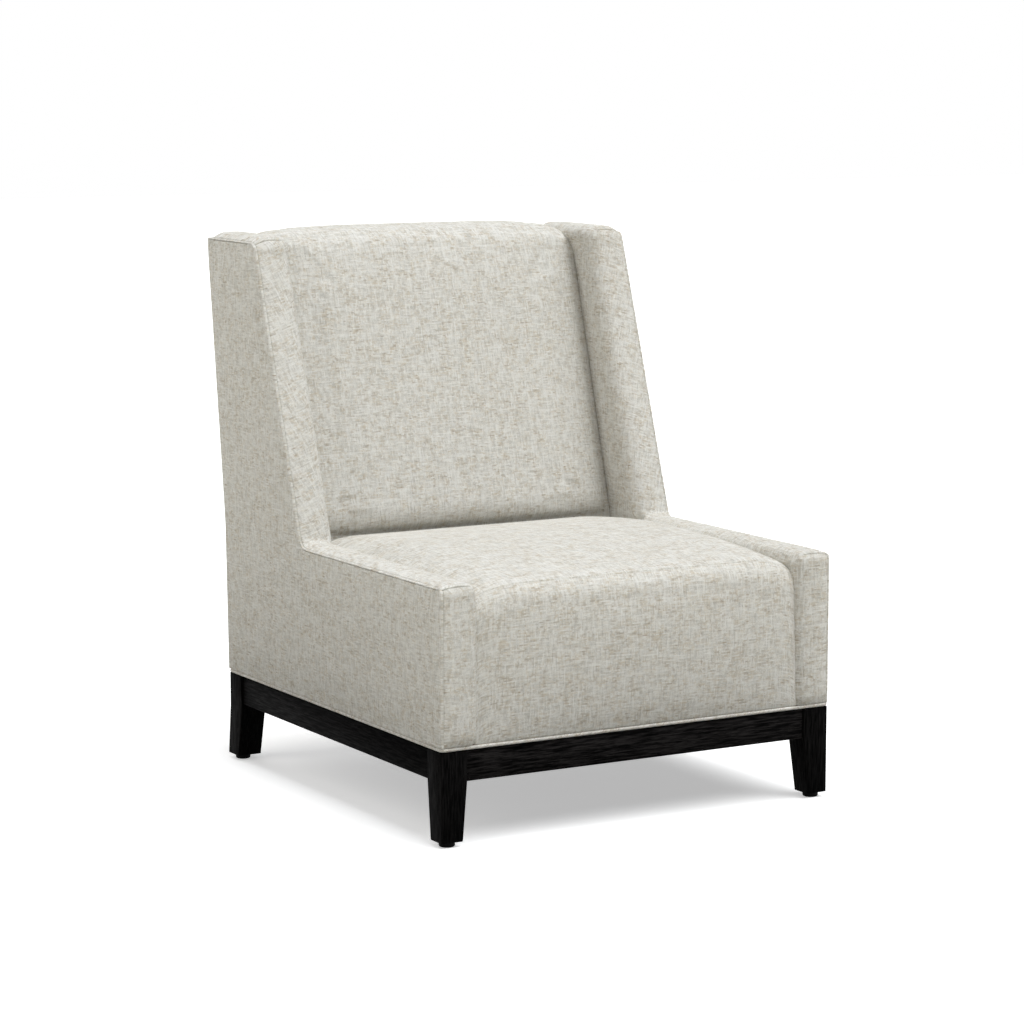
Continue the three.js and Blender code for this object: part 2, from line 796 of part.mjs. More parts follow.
// A steel strip that lies on the rail and curls over the end bar of a spring.
function clipGeometry() {
  const inner = springWireRadius + clearance;
  const outer = inner + clipThickness;
  const strip = new THREE.Shape();
  strip.moveTo(clipTail, -outer);
  strip.lineTo(0, -outer);
  strip.absarc(0, 0, outer, -Math.PI / 2, 0, true);
  strip.lineTo(inner, 0);
  strip.absarc(0, 0, inner, 0, -Math.PI / 2, false);
  strip.lineTo(clipTail, -inner);
  const geometry = new THREE.ExtrudeGeometry(strip, {
    depth: clipLength,
    curveSegments: 2 * cornerSteps,
    bevelEnabled: false,
  });
  geometry.translate(0, 0, -clipLength / 2);
  const turnToWidth = new THREE.Matrix4().makeBasis(
    new THREE.Vector3(0, 1, 0),
    new THREE.Vector3(0, 0, 1),
    new THREE.Vector3(1, 0, 0),
  );
  return geometry.applyMatrix4(turnToWidth);
}

function addSprings() {
  const frontBar = frontRailFace + seatRailDepth / 2;
  const rearBar = rearRailFace + seatRailDepth / 2;
  for (let index = 0; index < springCount; index += 1) {
    const x = (index - (springCount - 1) / 2) * springSpacing;
    const number = index + 1;
    const geometry = levelTube(springPath(frontBar, rearBar), springWireRadius, wireSides);
    addPiece(`seat_spring_${number}`, geometry, springSteel).position.x = x;
    const frontClip = addPiece(`front_spring_clip_${number}`, clipGeometry(), zincSteel);
    frontClip.position.set(x, frontBar, wireHeight);
    const rearClip = addPiece(`rear_spring_clip_${number}`, clipGeometry(), zincSteel);
    rearClip.position.set(x, rearBar, wireHeight);
    rearClip.rotation.z = Math.PI;
  }
}

function addInsulator() {
  const half = innerFace - 2 * clearance;
  const low = [-half, frontRailFace, insulatorBottom];
  const high = [half, rearRailFace + seatRailDepth, insulatorBottom + insulatorThickness];
  addPiece('spring_insulator', boxBetween(low, high), felt);
}

// Wooden base

// A rectangle seen from above, with its four upright edges eased.
function easedRectangle(x0, y0, x1, y1, ease) {
  return [
    [x0 + ease, y0],
    [x1 - ease, y0],
    [x1, y0 + ease],
    [x1, y1 - ease],
    [x1 - ease, y1],
    [x0 + ease, y1],
    [x0, y1 - ease],
    [x0, y0 + ease],
  ].map(([x, y]) => new THREE.Vector2(x, y));
}

function legSizeAt(height) {
  const share = (height - glideHeight) / (baseHeight - glideHeight);
  return {
    width: legFootWidth + (legTopWidth - legFootWidth) * share,
    depth: legFootDepth + (legTopDepth - legFootDepth) * share,
  };
}

function stemHole(x, y) {
  const bottom = glideHeight - overrun;
  const top = glideHeight + glideStemLength + clearance;
  const hole = uprightCylinder(glideStemRadius + clearance, bottom, top, boltSides);
  hole.translate(x, y, 0);
  return hole;
}

// The outer faces stand upright and the two inner faces taper towards the foot.
function frontLegGeometry() {
  const bottom = glideHeight + clearance;
  const sections = [bottom, baseHeight].map((at) => {
    const { width, depth } = legSizeAt(at);
    const rear = legInset + depth;
    return { at, ring: easedRectangle(legOuterX - width, legInset, legOuterX, rear, legEdgeEase) };
  });
  return cut(loft(sections, upwards), [stemHole(glideX, frontGlideY)]);
}

// Below the knee the leg sweeps back to the foot, front and rear faces alike.
function rearLegSweep(height) {
  const share = Math.max(0, 1 - (height - glideHeight) / (rearLegKneeHeight - glideHeight));
  return rearLegFlare * share * share;
}

function rearLegGeometry() {
  const bottom = glideHeight + clearance;
  const heights = [];
  for (let step = 0; step <= 2 * cornerSteps; step += 1) {
    heights.push(bottom + (rearLegKneeHeight - bottom) * (step / (2 * cornerSteps)));
  }
  heights.push(baseHeight);
  const sections = heights.map((at) => {
    const { width, depth } = legSizeAt(at);
    const rear = rearLegRear + rearLegSweep(at);
    return { at, ring: easedRectangle(legOuterX - width, rear - depth, legOuterX, rear, legEdgeEase) };
  });
  return cut(loft(sections, upwards), [stemHole(glideX, rearGlideY)]);
}

function glideGeometry() {
  const profile = [[0, 0]];
  for (let step = 0; step <= cornerSteps; step += 1) {
    const angle = (Math.PI / 2) * (step / cornerSteps);
    profile.push([
      glideRadius - glideEdgeRadius + glideEdgeRadius * Math.sin(angle),
      glideEdgeRadius - glideEdgeRadius * Math.cos(angle),
    ]);
  }
  profile.push([glideRadius, glideHeight], [glideStemRadius, glideHeight]);
  profile.push([glideStemRadius, glideHeight + glideStemLength], [0, glideHeight + glideStemLength]);
  return turned(profile, roundSides);
}

function addLegs() {
  const places = [['front', frontLegGeometry, frontGlideY], ['rear', rearLegGeometry, rearGlideY]];
  for (const side of ['left', 'right']) {
    for (const [end, geometry, glideY] of places) {
      addPiece(`${end}_${side}_leg`, onSide(geometry(), side), blackWood);
      const glide = addPiece(`${end}_${side}_glide`, glideGeometry(), blackNylon);
      glide.position.set(side === 'left' ? -glideX : glideX, glideY, 0);
    }
  }
}

// A base rail's section: the two lower edges are eased.
function railSection(low, high) {
  return [
    [low + baseRailEase, railBottom],
    [high - baseRailEase, railBottom],
    [high, railBottom + baseRailEase],
    [high, baseHeight],
    [low, baseHeight],
    [low, railBottom + baseRailEase],
  ].map(([across, height]) => new THREE.Vector2(across, height));
}

const alongDepth = (z, x, y) => [x, y, z];

function addBaseRails() {
  const half = legOuterX - legTopWidth - clearance;
  const frontRing = railSection(frontRailOuterY, frontRailOuterY + baseRailThickness);
  const rearRing = railSection(rearRailOuterY - baseRailThickness, rearRailOuterY);
  const acrossRail = (ring) => loft([{ at: -half, ring }, { at: half, ring }], acrossWidth);
  addPiece('base_front_rail', acrossRail(frontRing), blackWood);
  addPiece('base_rear_rail', acrossRail(rearRing), blackWood);
  const sideSection = railSection(sideRailOuterX - baseRailThickness, sideRailOuterX);
  const sideRing = sideSection.map((point) => new THREE.Vector2(point.y, point.x)).reverse();
  const front = legInset + legTopDepth + clearance;
  const rear = rearLegRear - legTopDepth - clearance;
  const sideRail = loft([{ at: front, ring: sideRing }, { at: rear, ring: sideRing }], alongDepth);
  for (const side of ['left', 'right']) {
    addPiece(`base_${side}_rail`, onSide(sideRail, side), blackWood);
  }
}

// A block glued across each inner corner of the base, notched round the leg and drilled for its bolt.
function cornerBlockGeometry({ legY, railY, inwards, boltY }) {
  const sideFace = sideRailOuterX - baseRailThickness - clearance;
  const legX = legOuterX - legTopWidth - clearance;
  const legFace = legY + inwards * clearance;
  const railFace = railY + inwards * clearance;
  const points = [
    [sideFace, legFace],
    [sideFace, legFace + inwards * cornerBlockReach],
    [cornerBlockEnd, railFace + inwards * cornerBlockEndDepth],
    [cornerBlockEnd, railFace],
    [legX, railFace],
    [legX, legFace],
  ].map(([x, y]) => new THREE.Vector2(x, y));
  const ring = inwards > 0 ? points : points.reverse();
  const top = baseHeight - cornerBlockDrop;
  const block = loft([{ at: top - cornerBlockHeight, ring }, { at: top, ring }], upwards);
  return cut(block, [boltHole(boltX, boltY, top - cornerBlockHeight - overrun, top + overrun)]);
}

function boltGeometry() {
  const headTop = baseHeight - cornerBlockDrop - cornerBlockHeight - clearance;
  const tip = frameBottom + boltBite;
  const profile = [
    [0, headTop - boltHeadHeight],
    [boltHeadRadius, headTop - boltHeadHeight],
    [boltHeadRadius, headTop],
    [boltRadius, headTop],
    [boltRadius, tip],
    [0, tip],
  ];
  return turned(profile, boltSides);
}

function addCornerBlocks() {
  const corners = [
    {
      end: 'front',
      legY: legInset + legTopDepth,
      railY: frontRailOuterY + baseRailThickness,
      inwards: 1,
      boltY: frontBoltY,
    },
    {
      end: 'rear',
      legY: rearLegRear - legTopDepth,
      railY: rearRailOuterY - baseRailThickness,
      inwards: -1,
      boltY: rearBoltY,
    },
  ];
  for (const side of ['left', 'right']) {
    for (const corner of corners) {
      const block = cornerBlockGeometry(corner);
      addPiece(`${corner.end}_${side}_corner_block`, onSide(block, side), hardwood);
      const bolt = addPiece(`${corner.end}_${side}_base_bolt`, boltGeometry(), zincSteel);
      bolt.position.set(side === 'left' ? -boltX : boltX, corner.boltY, 0);
    }
  }
}

// Dust cover and welt

function addDustCover() {
  const half = halfWidth - dustCoverInset;
  const bottom = baseHeight + clearance;
  const top = bottom + dustCoverThickness;
  const sheet = boxBetween([-half, dustCoverInset, bottom], [half, bodyDepth - dustCoverInset, top]);
  const holes = [frontBoltY, rearBoltY].flatMap((y) =>
    [-boltX, boltX].map((x) => boltHole(x, y, bottom - overrun, top + overrun)),
  );
  addPiece('dust_cover', cut(sheet, holes), cambric);
}

// The welt runs once round the foot of the upholstery, from one end to the other at the middle of the back.
function weltPath() {
  const inset = weltRadius - weltProud;
  const x = halfWidth - inset;
  const front = inset;
  const rear = bodyDepth - inset;
  const path = new THREE.CurvePath();
  const at = (px, py) => new THREE.Vector3(px, py, weltCentreHeight);
  const corners = [
    [x, rear, 0, -1],
    [x, front, -1, 0],
    [-x, front, 0, 1],
    [-x, rear, 1, 0],
  ];
  let from = at(weltJoint / 2, rear);
  let heading = [1, 0];
  for (const [cx, cy, outX, outY] of corners) {
    const before = at(cx - heading[0] * weltCornerRadius, cy - heading[1] * weltCornerRadius);
    const after = at(cx + outX * weltCornerRadius, cy + outY * weltCornerRadius);
    path.add(new THREE.LineCurve3(from, before));
    path.add(new THREE.QuadraticBezierCurve3(before, at(cx, cy), after));
    from = after;
    heading = [outX, outY];
  }
  path.add(new THREE.LineCurve3(from, at(-weltJoint / 2, rear)));
  return path;
}

function addWelt() {
  addPiece('bottom_welt', levelTube(weltPath(), weltRadius, weltSides), fabric);
}

addLegs();
addBaseRails();
addCornerBlocks();
addDustCover();
addSeatRails();
addSprings();
addInsulator();
addSides();
addSeat();
addBack();
addStraps();
addOutsideBack();
addWelt();

// The origin is on the floor, under the middle of the whole chair.
const bounds = new THREE.Box3().setFromObject(chair);
chair.position.y = -(bounds.min.y + bounds.max.y) / 2;

export default chair;
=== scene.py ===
# %% [markdown]
# A slipper chair with low arms that rise into wings, in a heathered linen-look cloth on a black wooden
# base. The hidden frame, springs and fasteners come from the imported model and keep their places. What
# shows is made here: the pads, the cloth panels, the welt and the base, each one at the place of the
# solid that it stands for.

# %% Load the frame
import json

import bmesh
import bpy
import numpy as np
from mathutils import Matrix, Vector


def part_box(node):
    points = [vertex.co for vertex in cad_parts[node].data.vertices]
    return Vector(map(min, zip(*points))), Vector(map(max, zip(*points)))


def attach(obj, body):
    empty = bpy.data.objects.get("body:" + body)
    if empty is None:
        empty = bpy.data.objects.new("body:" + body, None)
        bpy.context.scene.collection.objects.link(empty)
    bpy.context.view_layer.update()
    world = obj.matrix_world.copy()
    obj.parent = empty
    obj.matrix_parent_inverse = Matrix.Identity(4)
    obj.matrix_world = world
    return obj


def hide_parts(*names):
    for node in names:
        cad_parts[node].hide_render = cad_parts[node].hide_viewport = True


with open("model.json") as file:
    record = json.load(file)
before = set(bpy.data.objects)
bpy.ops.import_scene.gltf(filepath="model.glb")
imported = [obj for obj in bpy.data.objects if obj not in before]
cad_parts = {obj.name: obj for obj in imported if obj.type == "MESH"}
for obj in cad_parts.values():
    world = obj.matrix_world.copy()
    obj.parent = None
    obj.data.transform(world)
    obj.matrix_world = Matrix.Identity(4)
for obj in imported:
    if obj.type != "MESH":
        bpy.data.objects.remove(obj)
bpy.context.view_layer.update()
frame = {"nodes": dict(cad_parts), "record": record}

scene = bpy.context.scene

# %% [markdown]
# The sizes that the pads share are read from the solids they stand for, so that every piece lands where
# the frame has room for it. The few others are real sizes of the chair: the height of the arm, where the
# wing starts and ends, and the radii of the padded corners.

# %% Shared sizes, in metres
panel_low, panel_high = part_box("right_outside_cover")
wrap_low, wrap_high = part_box("right_side_cover")
seat_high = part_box("seat_cover")[1]
back_low, back_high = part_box("back_cover")
rear_low, rear_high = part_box("outside_back_cover")

cover = 0.005            # cloth with the quilted wadding behind it
gap = 0.0003             # between neighbouring pieces
front = panel_low.y      # flat front face of the upholstery
foot = panel_low.z       # lower edge of the panels, just above the welt
wing_top = panel_high.z
seam_x = wrap_high.x     # plane where the wrap of an arm meets the outside panel
inner_x = wrap_low.x     # inner face of arm and wing
half_width = panel_low.x - gap / 2 + cover
rear_foot = rear_low.y + cover
rear_top = rear_high.y

arm_height = 0.398
wing_foot_y = front + 0.471
wing_top_y = front + 0.632
bend_height = arm_height + 0.012
bend_y = rear_foot + 0.008
arm_front_radius = 0.010
wing_foot_radius = 0.013
wing_top_radius = 0.015
bend_radius = 0.09
print("panels from", round(front, 4), "to", round(rear_top, 4), "half width", round(half_width, 4))


# %% [markdown]
# A camera in the place of the photographer: left of the chair, a little above the arms, with a long lens.
# Its place was worked out once from the legs and the welt, which are straight and of known size.

# %% Camera
camera_data = bpy.data.cameras.new("camera")
camera = bpy.data.objects.new("camera", camera_data)
scene.collection.objects.link(camera)
camera.location = (-2.6449, -4.5742, 1.1936)
camera_heading = Vector((0.4957, 0.8569, -0.1413))
camera.rotation_euler = camera_heading.to_track_quat("-Z", "Y").to_euler()
camera_data.sensor_width = 36.0
camera_data.lens = 113.91
scene.camera = camera
print("camera", [round(c, 3) for c in camera.location])


# %% [markdown]
# Every piece starts as a primitive and is shaped in edit mode, as by hand. An operator acts on all that
# is selected, so each helper deselects everything first and then picks its faces, edges or corners by
# their place.

# %% Tools of the bench
def only(piece):
    if bpy.context.object and bpy.context.object.mode != "OBJECT":
        bpy.ops.object.mode_set(mode="OBJECT")
    bpy.ops.object.select_all(action="DESELECT")
    piece.select_set(True)
    bpy.context.view_layer.objects.active = piece


def named(name):
    piece = bpy.context.object
    piece.name = name
    piece.data.name = name
    bpy.ops.object.transform_apply(location=True, rotation=True, scale=True)
    return piece


def block(name, low, high):
    bpy.ops.object.select_all(action="DESELECT")
    low, high = Vector(low), Vector(high)
    bpy.ops.mesh.primitive_cube_add(size=1, location=(low + high) / 2, scale=high - low)
    return named(name)


def open_up(piece, mode="FACE"):
    only(piece)
    bpy.ops.object.mode_set(mode="EDIT")
    bpy.ops.mesh.select_mode(type=mode)
    bpy.ops.mesh.select_all(action="DESELECT")


def close_up():
    bpy.ops.object.mode_set(mode="OBJECT")


def pick(piece, test, mode="FACE"):
    """Selects the faces, edges or corners whose middle, and for faces whose normal, passes the test."""
    bpy.ops.mesh.select_mode(type=mode)
    bpy.ops.mesh.select_all(action="DESELECT")
    mesh = bmesh.from_edit_mesh(piece.data)
    if mode == "FACE":
        for face in mesh.faces:
            face.select_set(bool(test(face.calc_center_median(), face.normal)))
    elif mode == "EDGE":
        for edge in mesh.edges:
            edge.select_set(bool(test((edge.verts[0].co + edge.verts[1].co) / 2)))
    else:
        for corner in mesh.verts:
            corner.select_set(bool(test(corner.co)))
    mesh.select_flush_mode()
    bmesh.update_edit_mesh(piece.data)


def slice_at(place, normal, clear=False, fill=False):
    """Cuts what is selected along a plane, and takes away what lies on the normal's side if asked."""
    bpy.ops.mesh.bisect(plane_co=place, plane_no=normal, clear_outer=clear, use_fill=fill)


def slice_all(place, normal, clear=False, fill=False):
    bpy.ops.mesh.select_all(action="SELECT")
    slice_at(place, normal, clear, fill)


def shift(move):
    bpy.ops.transform.translate(value=move)


def extrude(move):
    bpy.ops.mesh.extrude_region_move(TRANSFORM_OT_translate={"value": move})


def near(a, b, within=0.0005):
    return abs(a - b) < within


def apply(piece, modifier):
    only(piece)
    bpy.ops.object.modifier_apply(modifier=modifier.name)


def refine(piece):
    finer = piece.modifiers.new("smooth", "SUBSURF")
    finer.levels = finer.render_levels = 1
    apply(piece, finer)


def round_edges(piece, radii, segments=6):
    """Rounds the edges whose middle passes a test, each with a radius of its own, all in one bevel."""
    widest = max(radius for _, radius in radii)
    weights = piece.data.attributes.new("bevel_weight_edge", "FLOAT", "EDGE")
    for edge in piece.data.edges:
        ends = [piece.data.vertices[index].co for index in edge.vertices]
        for test, radius in radii:
            if test(*ends):
                weights.data[edge.index].value = radius / widest
    bevel = piece.modifiers.new("rolls", "BEVEL")
    bevel.limit_method = "WEIGHT"
    bevel.width = widest
    bevel.segments = segments
    bevel.use_clamp_overlap = False
    apply(piece, bevel)


print("bench ready")


# %% [markdown]
# Upholstery isn't hard: the cloth is pulled over crowned foam and swells between the lines where it is
# held. So each pad is remeshed evenly and given most of its crown, as the foam has. Then it is held along
# its seams and hidden sides and blown up by Blender's cloth with pressure. A limit on how far a point may
# move keeps its size.

# %% Padding by cloth simulation
voxel = 0.005
foam_share = 0.88
swell_frames = 20
sideways_share = 0.3


def soft_step(value, low, high):
    share = np.clip((value - low) / (high - low), 0, 1)
    return share * share * (3 - 2 * share)


def bow(share):
    return np.clip(1 - (2 * np.clip(share, 0, 1) - 1) ** 2, 0, 1)


def even_mesh(piece):
    only(piece)
    piece.data.remesh_voxel_size = voxel
    bpy.ops.object.voxel_remesh()
    open_up(piece)
    bpy.ops.mesh.select_all(action="SELECT")
    bpy.ops.mesh.vertices_smooth(factor=0.5, repeat=4)
    close_up()


def places_of(mesh):
    flat = np.empty(len(mesh.vertices) * 3, np.float32)
    mesh.vertices.foreach_get("co", flat)
    return flat.reshape(-1, 3).astype(float)


def normals_of(mesh):
    flat = np.empty(len(mesh.vertices) * 3, np.float32)
    mesh.vertex_normals.foreach_get("vector", flat)
    return flat.reshape(-1, 3).astype(float)


def put_places(mesh, places):
    mesh.vertices.foreach_set("co", places.astype(np.float32).ravel())
    mesh.update()


def swell(piece, held, limit):
    """Crowns the foam, then blows the cloth up between its held points: held is a share, limit a length."""
    hold = held(places_of(piece.data))
    crown = limit(places_of(piece.data)) * (1 - hold)
    stuffed = crown * foam_share
    foam = places_of(piece.data) + normals_of(piece.data) * stuffed[:, None]
    put_places(piece.data, foam)
    group = piece.vertex_groups.new(name="held")
    for index in np.nonzero(hold > 0)[0]:
        group.add([int(index)], float(hold[index]), "REPLACE")
    cloth = piece.modifiers.new("padding", "CLOTH")
    cloth.settings.use_pressure = True
    cloth.settings.uniform_pressure_force = 4
    cloth.settings.effector_weights.gravity = 0
    cloth.settings.vertex_group_mass = "held"
    cloth.point_cache.frame_start = 1
    cloth.point_cache.frame_end = swell_frames
    for step in range(1, swell_frames + 1):
        scene.frame_set(step)
    swollen = places_of(piece.evaluated_get(bpy.context.evaluated_depsgraph_get()).data)
    piece.modifiers.remove(cloth)
    piece.vertex_groups.remove(group)
    scene.frame_set(1)
    normals = normals_of(piece.data)
    moved = swollen - foam
    outwards = (moved * normals).sum(axis=1)
    sideways = moved - normals * outwards[:, None]
    raised = np.clip(outwards, 0, crown * (1 - foam_share))
    slip = np.minimum(1, sideways_share * raised / np.maximum(np.linalg.norm(sideways, axis=1), 1e-9))
    put_places(piece.data, foam + normals * raised[:, None] + sideways * slip[:, None])
    print(piece.name, "crown", round(float(crown.max()) * 1000, 1), "mm, of it by the cloth",
          round(float(raised.max()) * 1000, 1), "free", round(float(outwards.max()) * 1000, 1))


def meet(piece, half, reach, lip):
    """Draws both ends, which the remesh has rounded, out to the neighbours, and lets them rise there."""
    places, normals = places_of(piece.data), normals_of(piece.data)
    off = half - np.abs(places[:, 0])
    close = np.clip(1 - off / reach, 0, 1)
    in_sight = (normals[:, 1] < -0.3) | (normals[:, 2] > 0.3)
    normals[:, 0] = 0
    length = np.linalg.norm(normals, axis=1)
    rise = lip * close ** 2 * in_sight * np.clip(length / 0.5, 0, 1) / np.maximum(length, 1e-6)
    drawn = np.where(off < reach, off * soft_step(off, 0.3 * reach, reach), off)
    places[:, 0] = np.sign(places[:, 0]) * (half - drawn)
    put_places(piece.data, places + normals * rise[:, None])


def reach_down(piece, low, reach=0.006):
    """Draws the rounded lower edge down to the welt."""
    places = places_of(piece.data)
    up = places[:, 2] - low
    places[:, 2] = low + np.where(up < reach, up * soft_step(up, 0.3 * reach, reach), up)
    put_places(piece.data, places)


print("cloth ready")


# %% [markdown]
# All the cloth is one woven fabric, and its threads follow each panel. So a panel keeps the place of
# every corner on the flat cloth, in metres, as an attribute. The weave is drawn from that, and turns with
# the panel where the cloth was turned when it was cut. The third number only keeps the panels from
# looking alike.

# %% Laying the cloth
def face_middles(mesh):
    middles = np.empty(len(mesh.polygons) * 3, np.float32)
    sides = np.empty(len(mesh.polygons), np.int32)
    mesh.polygons.foreach_get("center", middles)
    mesh.polygons.foreach_get("loop_total", sides)
    return np.repeat(middles.reshape(-1, 3).astype(float), sides, axis=0)


def lay_cloth(piece, flat, panel):
    """flat(places, middles) gives each corner two lengths on the cloth, and how far apart its parts are."""
    mesh = piece.data
    corners = np.empty(len(mesh.loops), np.int32)
    mesh.loops.foreach_get("vertex_index", corners)
    across, along, part = flat(places_of(mesh)[corners], face_middles(mesh))
    cloth = np.stack([across, along, np.broadcast_to(panel + part, across.shape)], axis=1)
    attribute = mesh.attributes.new("cloth", "FLOAT_VECTOR", "CORNER")
    attribute.data.foreach_set("vector", cloth.astype(np.float32).ravel())


def dress(piece, flat, panel):
    only(piece)
    bpy.ops.object.shade_smooth_by_angle(angle=1.0)
    lay_cloth(piece, flat, panel)


def path_length(y, z, middle, radius, first):
    """Length along a line with the heading first, round an arc, and on level towards the rear."""
    turn = np.arctan2(first[1], first[0])
    from_y, from_z = y - middle[0], z - middle[1]
    ahead = from_y * first[0] + from_z * first[1]
    outward = -from_y * first[1] + from_z * first[0]
    angle = np.clip(np.arctan2(ahead, outward), 0, turn)
    return np.where(ahead < 0, ahead, np.where(from_y > 0, radius * turn + from_y, radius * angle))


def end_roll(x, half, width):
    """From 0 in the middle to 1 at the ends, along a quarter of a round roll."""
    into = np.clip((np.abs(x) - (half - width)) / width, 0, 1)
    return 1 - np.sqrt(1 - into * into)


print("cloth rules ready")


# %% [markdown]
# A seam is sewn after the remesh, which would have closed it. The faces beside its line are made finer,
# and then the line is sunk between the two slight ridges that the folded cloth behind it makes.

# %% Sewing a seam
seam_reach = 0.0035


def sew(piece, from_seam, depth, ridge, cuts=3):
    """from_seam(places) gives each place's distance from the line in metres."""
    open_up(piece)
    mesh = bmesh.from_edit_mesh(piece.data)
    middles = np.array([face.calc_center_median() for face in mesh.faces])
    beside = np.abs(from_seam(middles)) < seam_reach
    for face, chosen in zip(mesh.faces, beside):
        face.select_set(bool(chosen))
    bmesh.update_edit_mesh(piece.data)
    bpy.ops.mesh.subdivide(number_cuts=cuts)
    close_up()
    places, normals = places_of(piece.data), normals_of(piece.data)
    away = np.abs(from_seam(places)) / seam_reach
    shape = ridge * np.exp(-((away - 0.55) / 0.3) ** 2) - depth * np.exp(-((away / 0.22) ** 2))
    put_places(piece.data, places + normals * (shape * (away < 2))[:, None])
    print(piece.name, "seam over", int(beside.sum()), "faces")


print("needle ready")


# %% [markdown]
# Arm and wing share one outline: up the front, along the arm, up the slope of the wing and back over its
# top. It starts as a block of the arm's height. The wing is extruded from its top and leaned back, and
# the rear face is bent where the back starts to lean.

# %% Outline of arm and wing
def rear_line(z):
    """Where the rear face stands at each height: slanted a little up to the bend, then leaning back."""
    return np.interp(z, (foot, bend_height, wing_top), (rear_foot, bend_y, rear_top))


def arm_and_wing(name, from_x, to_x, rear_inset):
    rear = rear_foot - rear_inset
    piece = block(name, (from_x, front, foot), (to_x, rear, arm_height))
    open_up(piece)
    slice_all((0, wing_foot_y, 0), (0, 1, 0))
    pick(piece, lambda place, normal: normal.z > 0.9 and place.y > wing_foot_y)
    extrude((0, 0, wing_top - arm_height))
    pick(piece, lambda place: near(place.z, wing_top) and near(place.y, wing_foot_y), "EDGE")
    shift((0, wing_top_y - wing_foot_y, 0))
    slice_all((0, 0, bend_height), (0, 0, 1))
    pick(piece, lambda place: near(place.z, bend_height) and near(place.y, rear), "EDGE")
    shift((0, bend_y - rear_foot, 0))
    pick(piece, lambda place: near(place.z, arm_height) and near(place.y, rear), "EDGE")
    shift((0, rear_line(arm_height) - rear_foot, 0))
    pick(piece, lambda place: near(place.z, wing_top) and near(place.y, rear), "EDGE")
    shift((0, rear_top - rear_foot, 0))
    close_up()
    return piece


def crossing(y, z):
    """Picks the edges that run across the arm at one place of its outline."""
    return lambda a, b: near(a.y, y) and near(b.y, y) and near(a.z, z) and near(b.z, z)


def outline_corners():
    return [(crossing(front, arm_height), arm_front_radius),
            (crossing(wing_foot_y, arm_height), wing_foot_radius),
            (crossing(wing_top_y, wing_top), wing_top_radius)]


def bend_corner(rear_inset):
    return crossing(bend_y - rear_inset, bend_height), bend_radius


slope = Vector((wing_top_y - wing_foot_y, wing_top - arm_height)).normalized()
slope_out = np.array((-slope.y, slope.x))
outward = np.array([(-1.0, 0.0), (0.0, 1.0), slope_out, (0.0, 1.0)])
print("slope of the wing", round(float(np.degrees(np.arctan2(slope.x, slope.y))), 1), "degrees")


# %% Stretches of the outline: front, arm, slope and top
def stretch_of(y, z):
    lean = slope_out + (0, 1)
    before_foot = lean[0] * (z - arm_height) - lean[1] * (y - wing_foot_y) > 0
    before_top = lean[0] * (z - wing_top) - lean[1] * (y - wing_top_y) > 0
    on_front = (y - front) < (arm_height - z)
    return np.where(on_front, 0, np.where(before_foot, 1, np.where(before_top, 2, 3)))


def depth_inside(y, z):
    """How far a place lies inside the seam line of arm and wing."""
    to_front = y - front
    to_arm = np.where(y < wing_foot_y, arm_height - z, 1.0)
    to_slope = -((y - wing_foot_y) * slope_out[0] + (z - arm_height) * slope_out[1])
    to_top = wing_top - z
    to_upper = np.where(z < arm_height, np.maximum(to_arm, to_slope), to_slope)
    return np.minimum(np.minimum(to_front, to_top), to_upper)


# the line where the pad of the back meets arm and wing
valley_low = np.array((front + 0.574, arm_height + 0.001))
valley_high = np.array((front + 0.684, wing_top - 0.091))
back_lean = (valley_high - valley_low) / np.linalg.norm(valley_high - valley_low)


def valley_y(z):
    return valley_low[0] + (z - valley_low[1]) / back_lean[1] * back_lean[0]


print("stretches ready")


# %% [markdown]
# The wrap of arm and wing is the strip that faces forwards and up, rolled over into the inner face. The
# outer side is pinned, so the seam with the outside panel stays a true line, and from there the strip
# swells to its crown. The pad is made wider than it is, simulated, and then trimmed at the seam, which
# leaves a crisp edge with a small turn, as folded cloth has.

# %% Arm and wing
facing_crown, arm_crown, top_crown = 0.0055, 0.0075, 0.0115
crown_width, crown_fullness = 0.026, 2.5      # how far from the seam the crown rises, and how steeply
inner_roll, top_inner_roll = 0.016, 0.007
inner_swell = 0.004
inner_gap = 0.0001
spare_width = 0.012
hidden_inset = 0.0065
seam_turn = 0.0013
front_rim_heights = (0.03, 0.07, 0.12, 0.17)   # the valley beside the seat grows deeper on its way up
front_rim_radii = (0.003, 0.005, 0.008, 0.012, 0.016)


def wrap_held(places):
    x, y, z = places.T
    rear = y > rear_line(z) - hidden_inset - 0.004
    return ((x > seam_x - 0.001) | (z < foot + 0.003) | rear & (z < wing_top - 0.003)).astype(float)


def wrap_limit(places):
    x, y, z = places.T
    across = np.clip((seam_x - x) / crown_width, 0, 1)
    depth = depth_inside(y, z)
    on_arm = soft_step(z, arm_height - 0.02, arm_height) * soft_step(wing_foot_y + 0.03 - y, 0, 0.05)
    crown = facing_crown + (arm_crown - facing_crown) * on_arm
    crown = crown + (top_crown - crown) * soft_step(z, wing_top - 0.03, wing_top)
    facing = crown * (1 - (1 - across) ** crown_fullness)
    inside = np.clip((depth - inner_roll) / 0.02, 0, 1)
    foot_fade = np.clip((z - foot) / 0.012, 0, 1)
    open_side = soft_step(z, arm_height + 0.01, arm_height + 0.05) * soft_step(valley_y(z) - y, 0, 0.03)
    to_rear = np.clip((y - (rear_top - hidden_inset - 0.012)) / 0.012, 0, 1)
    return (facing * (1 - inside) * np.sqrt(1 - to_rear ** 2) + inner_swell * inside * open_side) * foot_fade


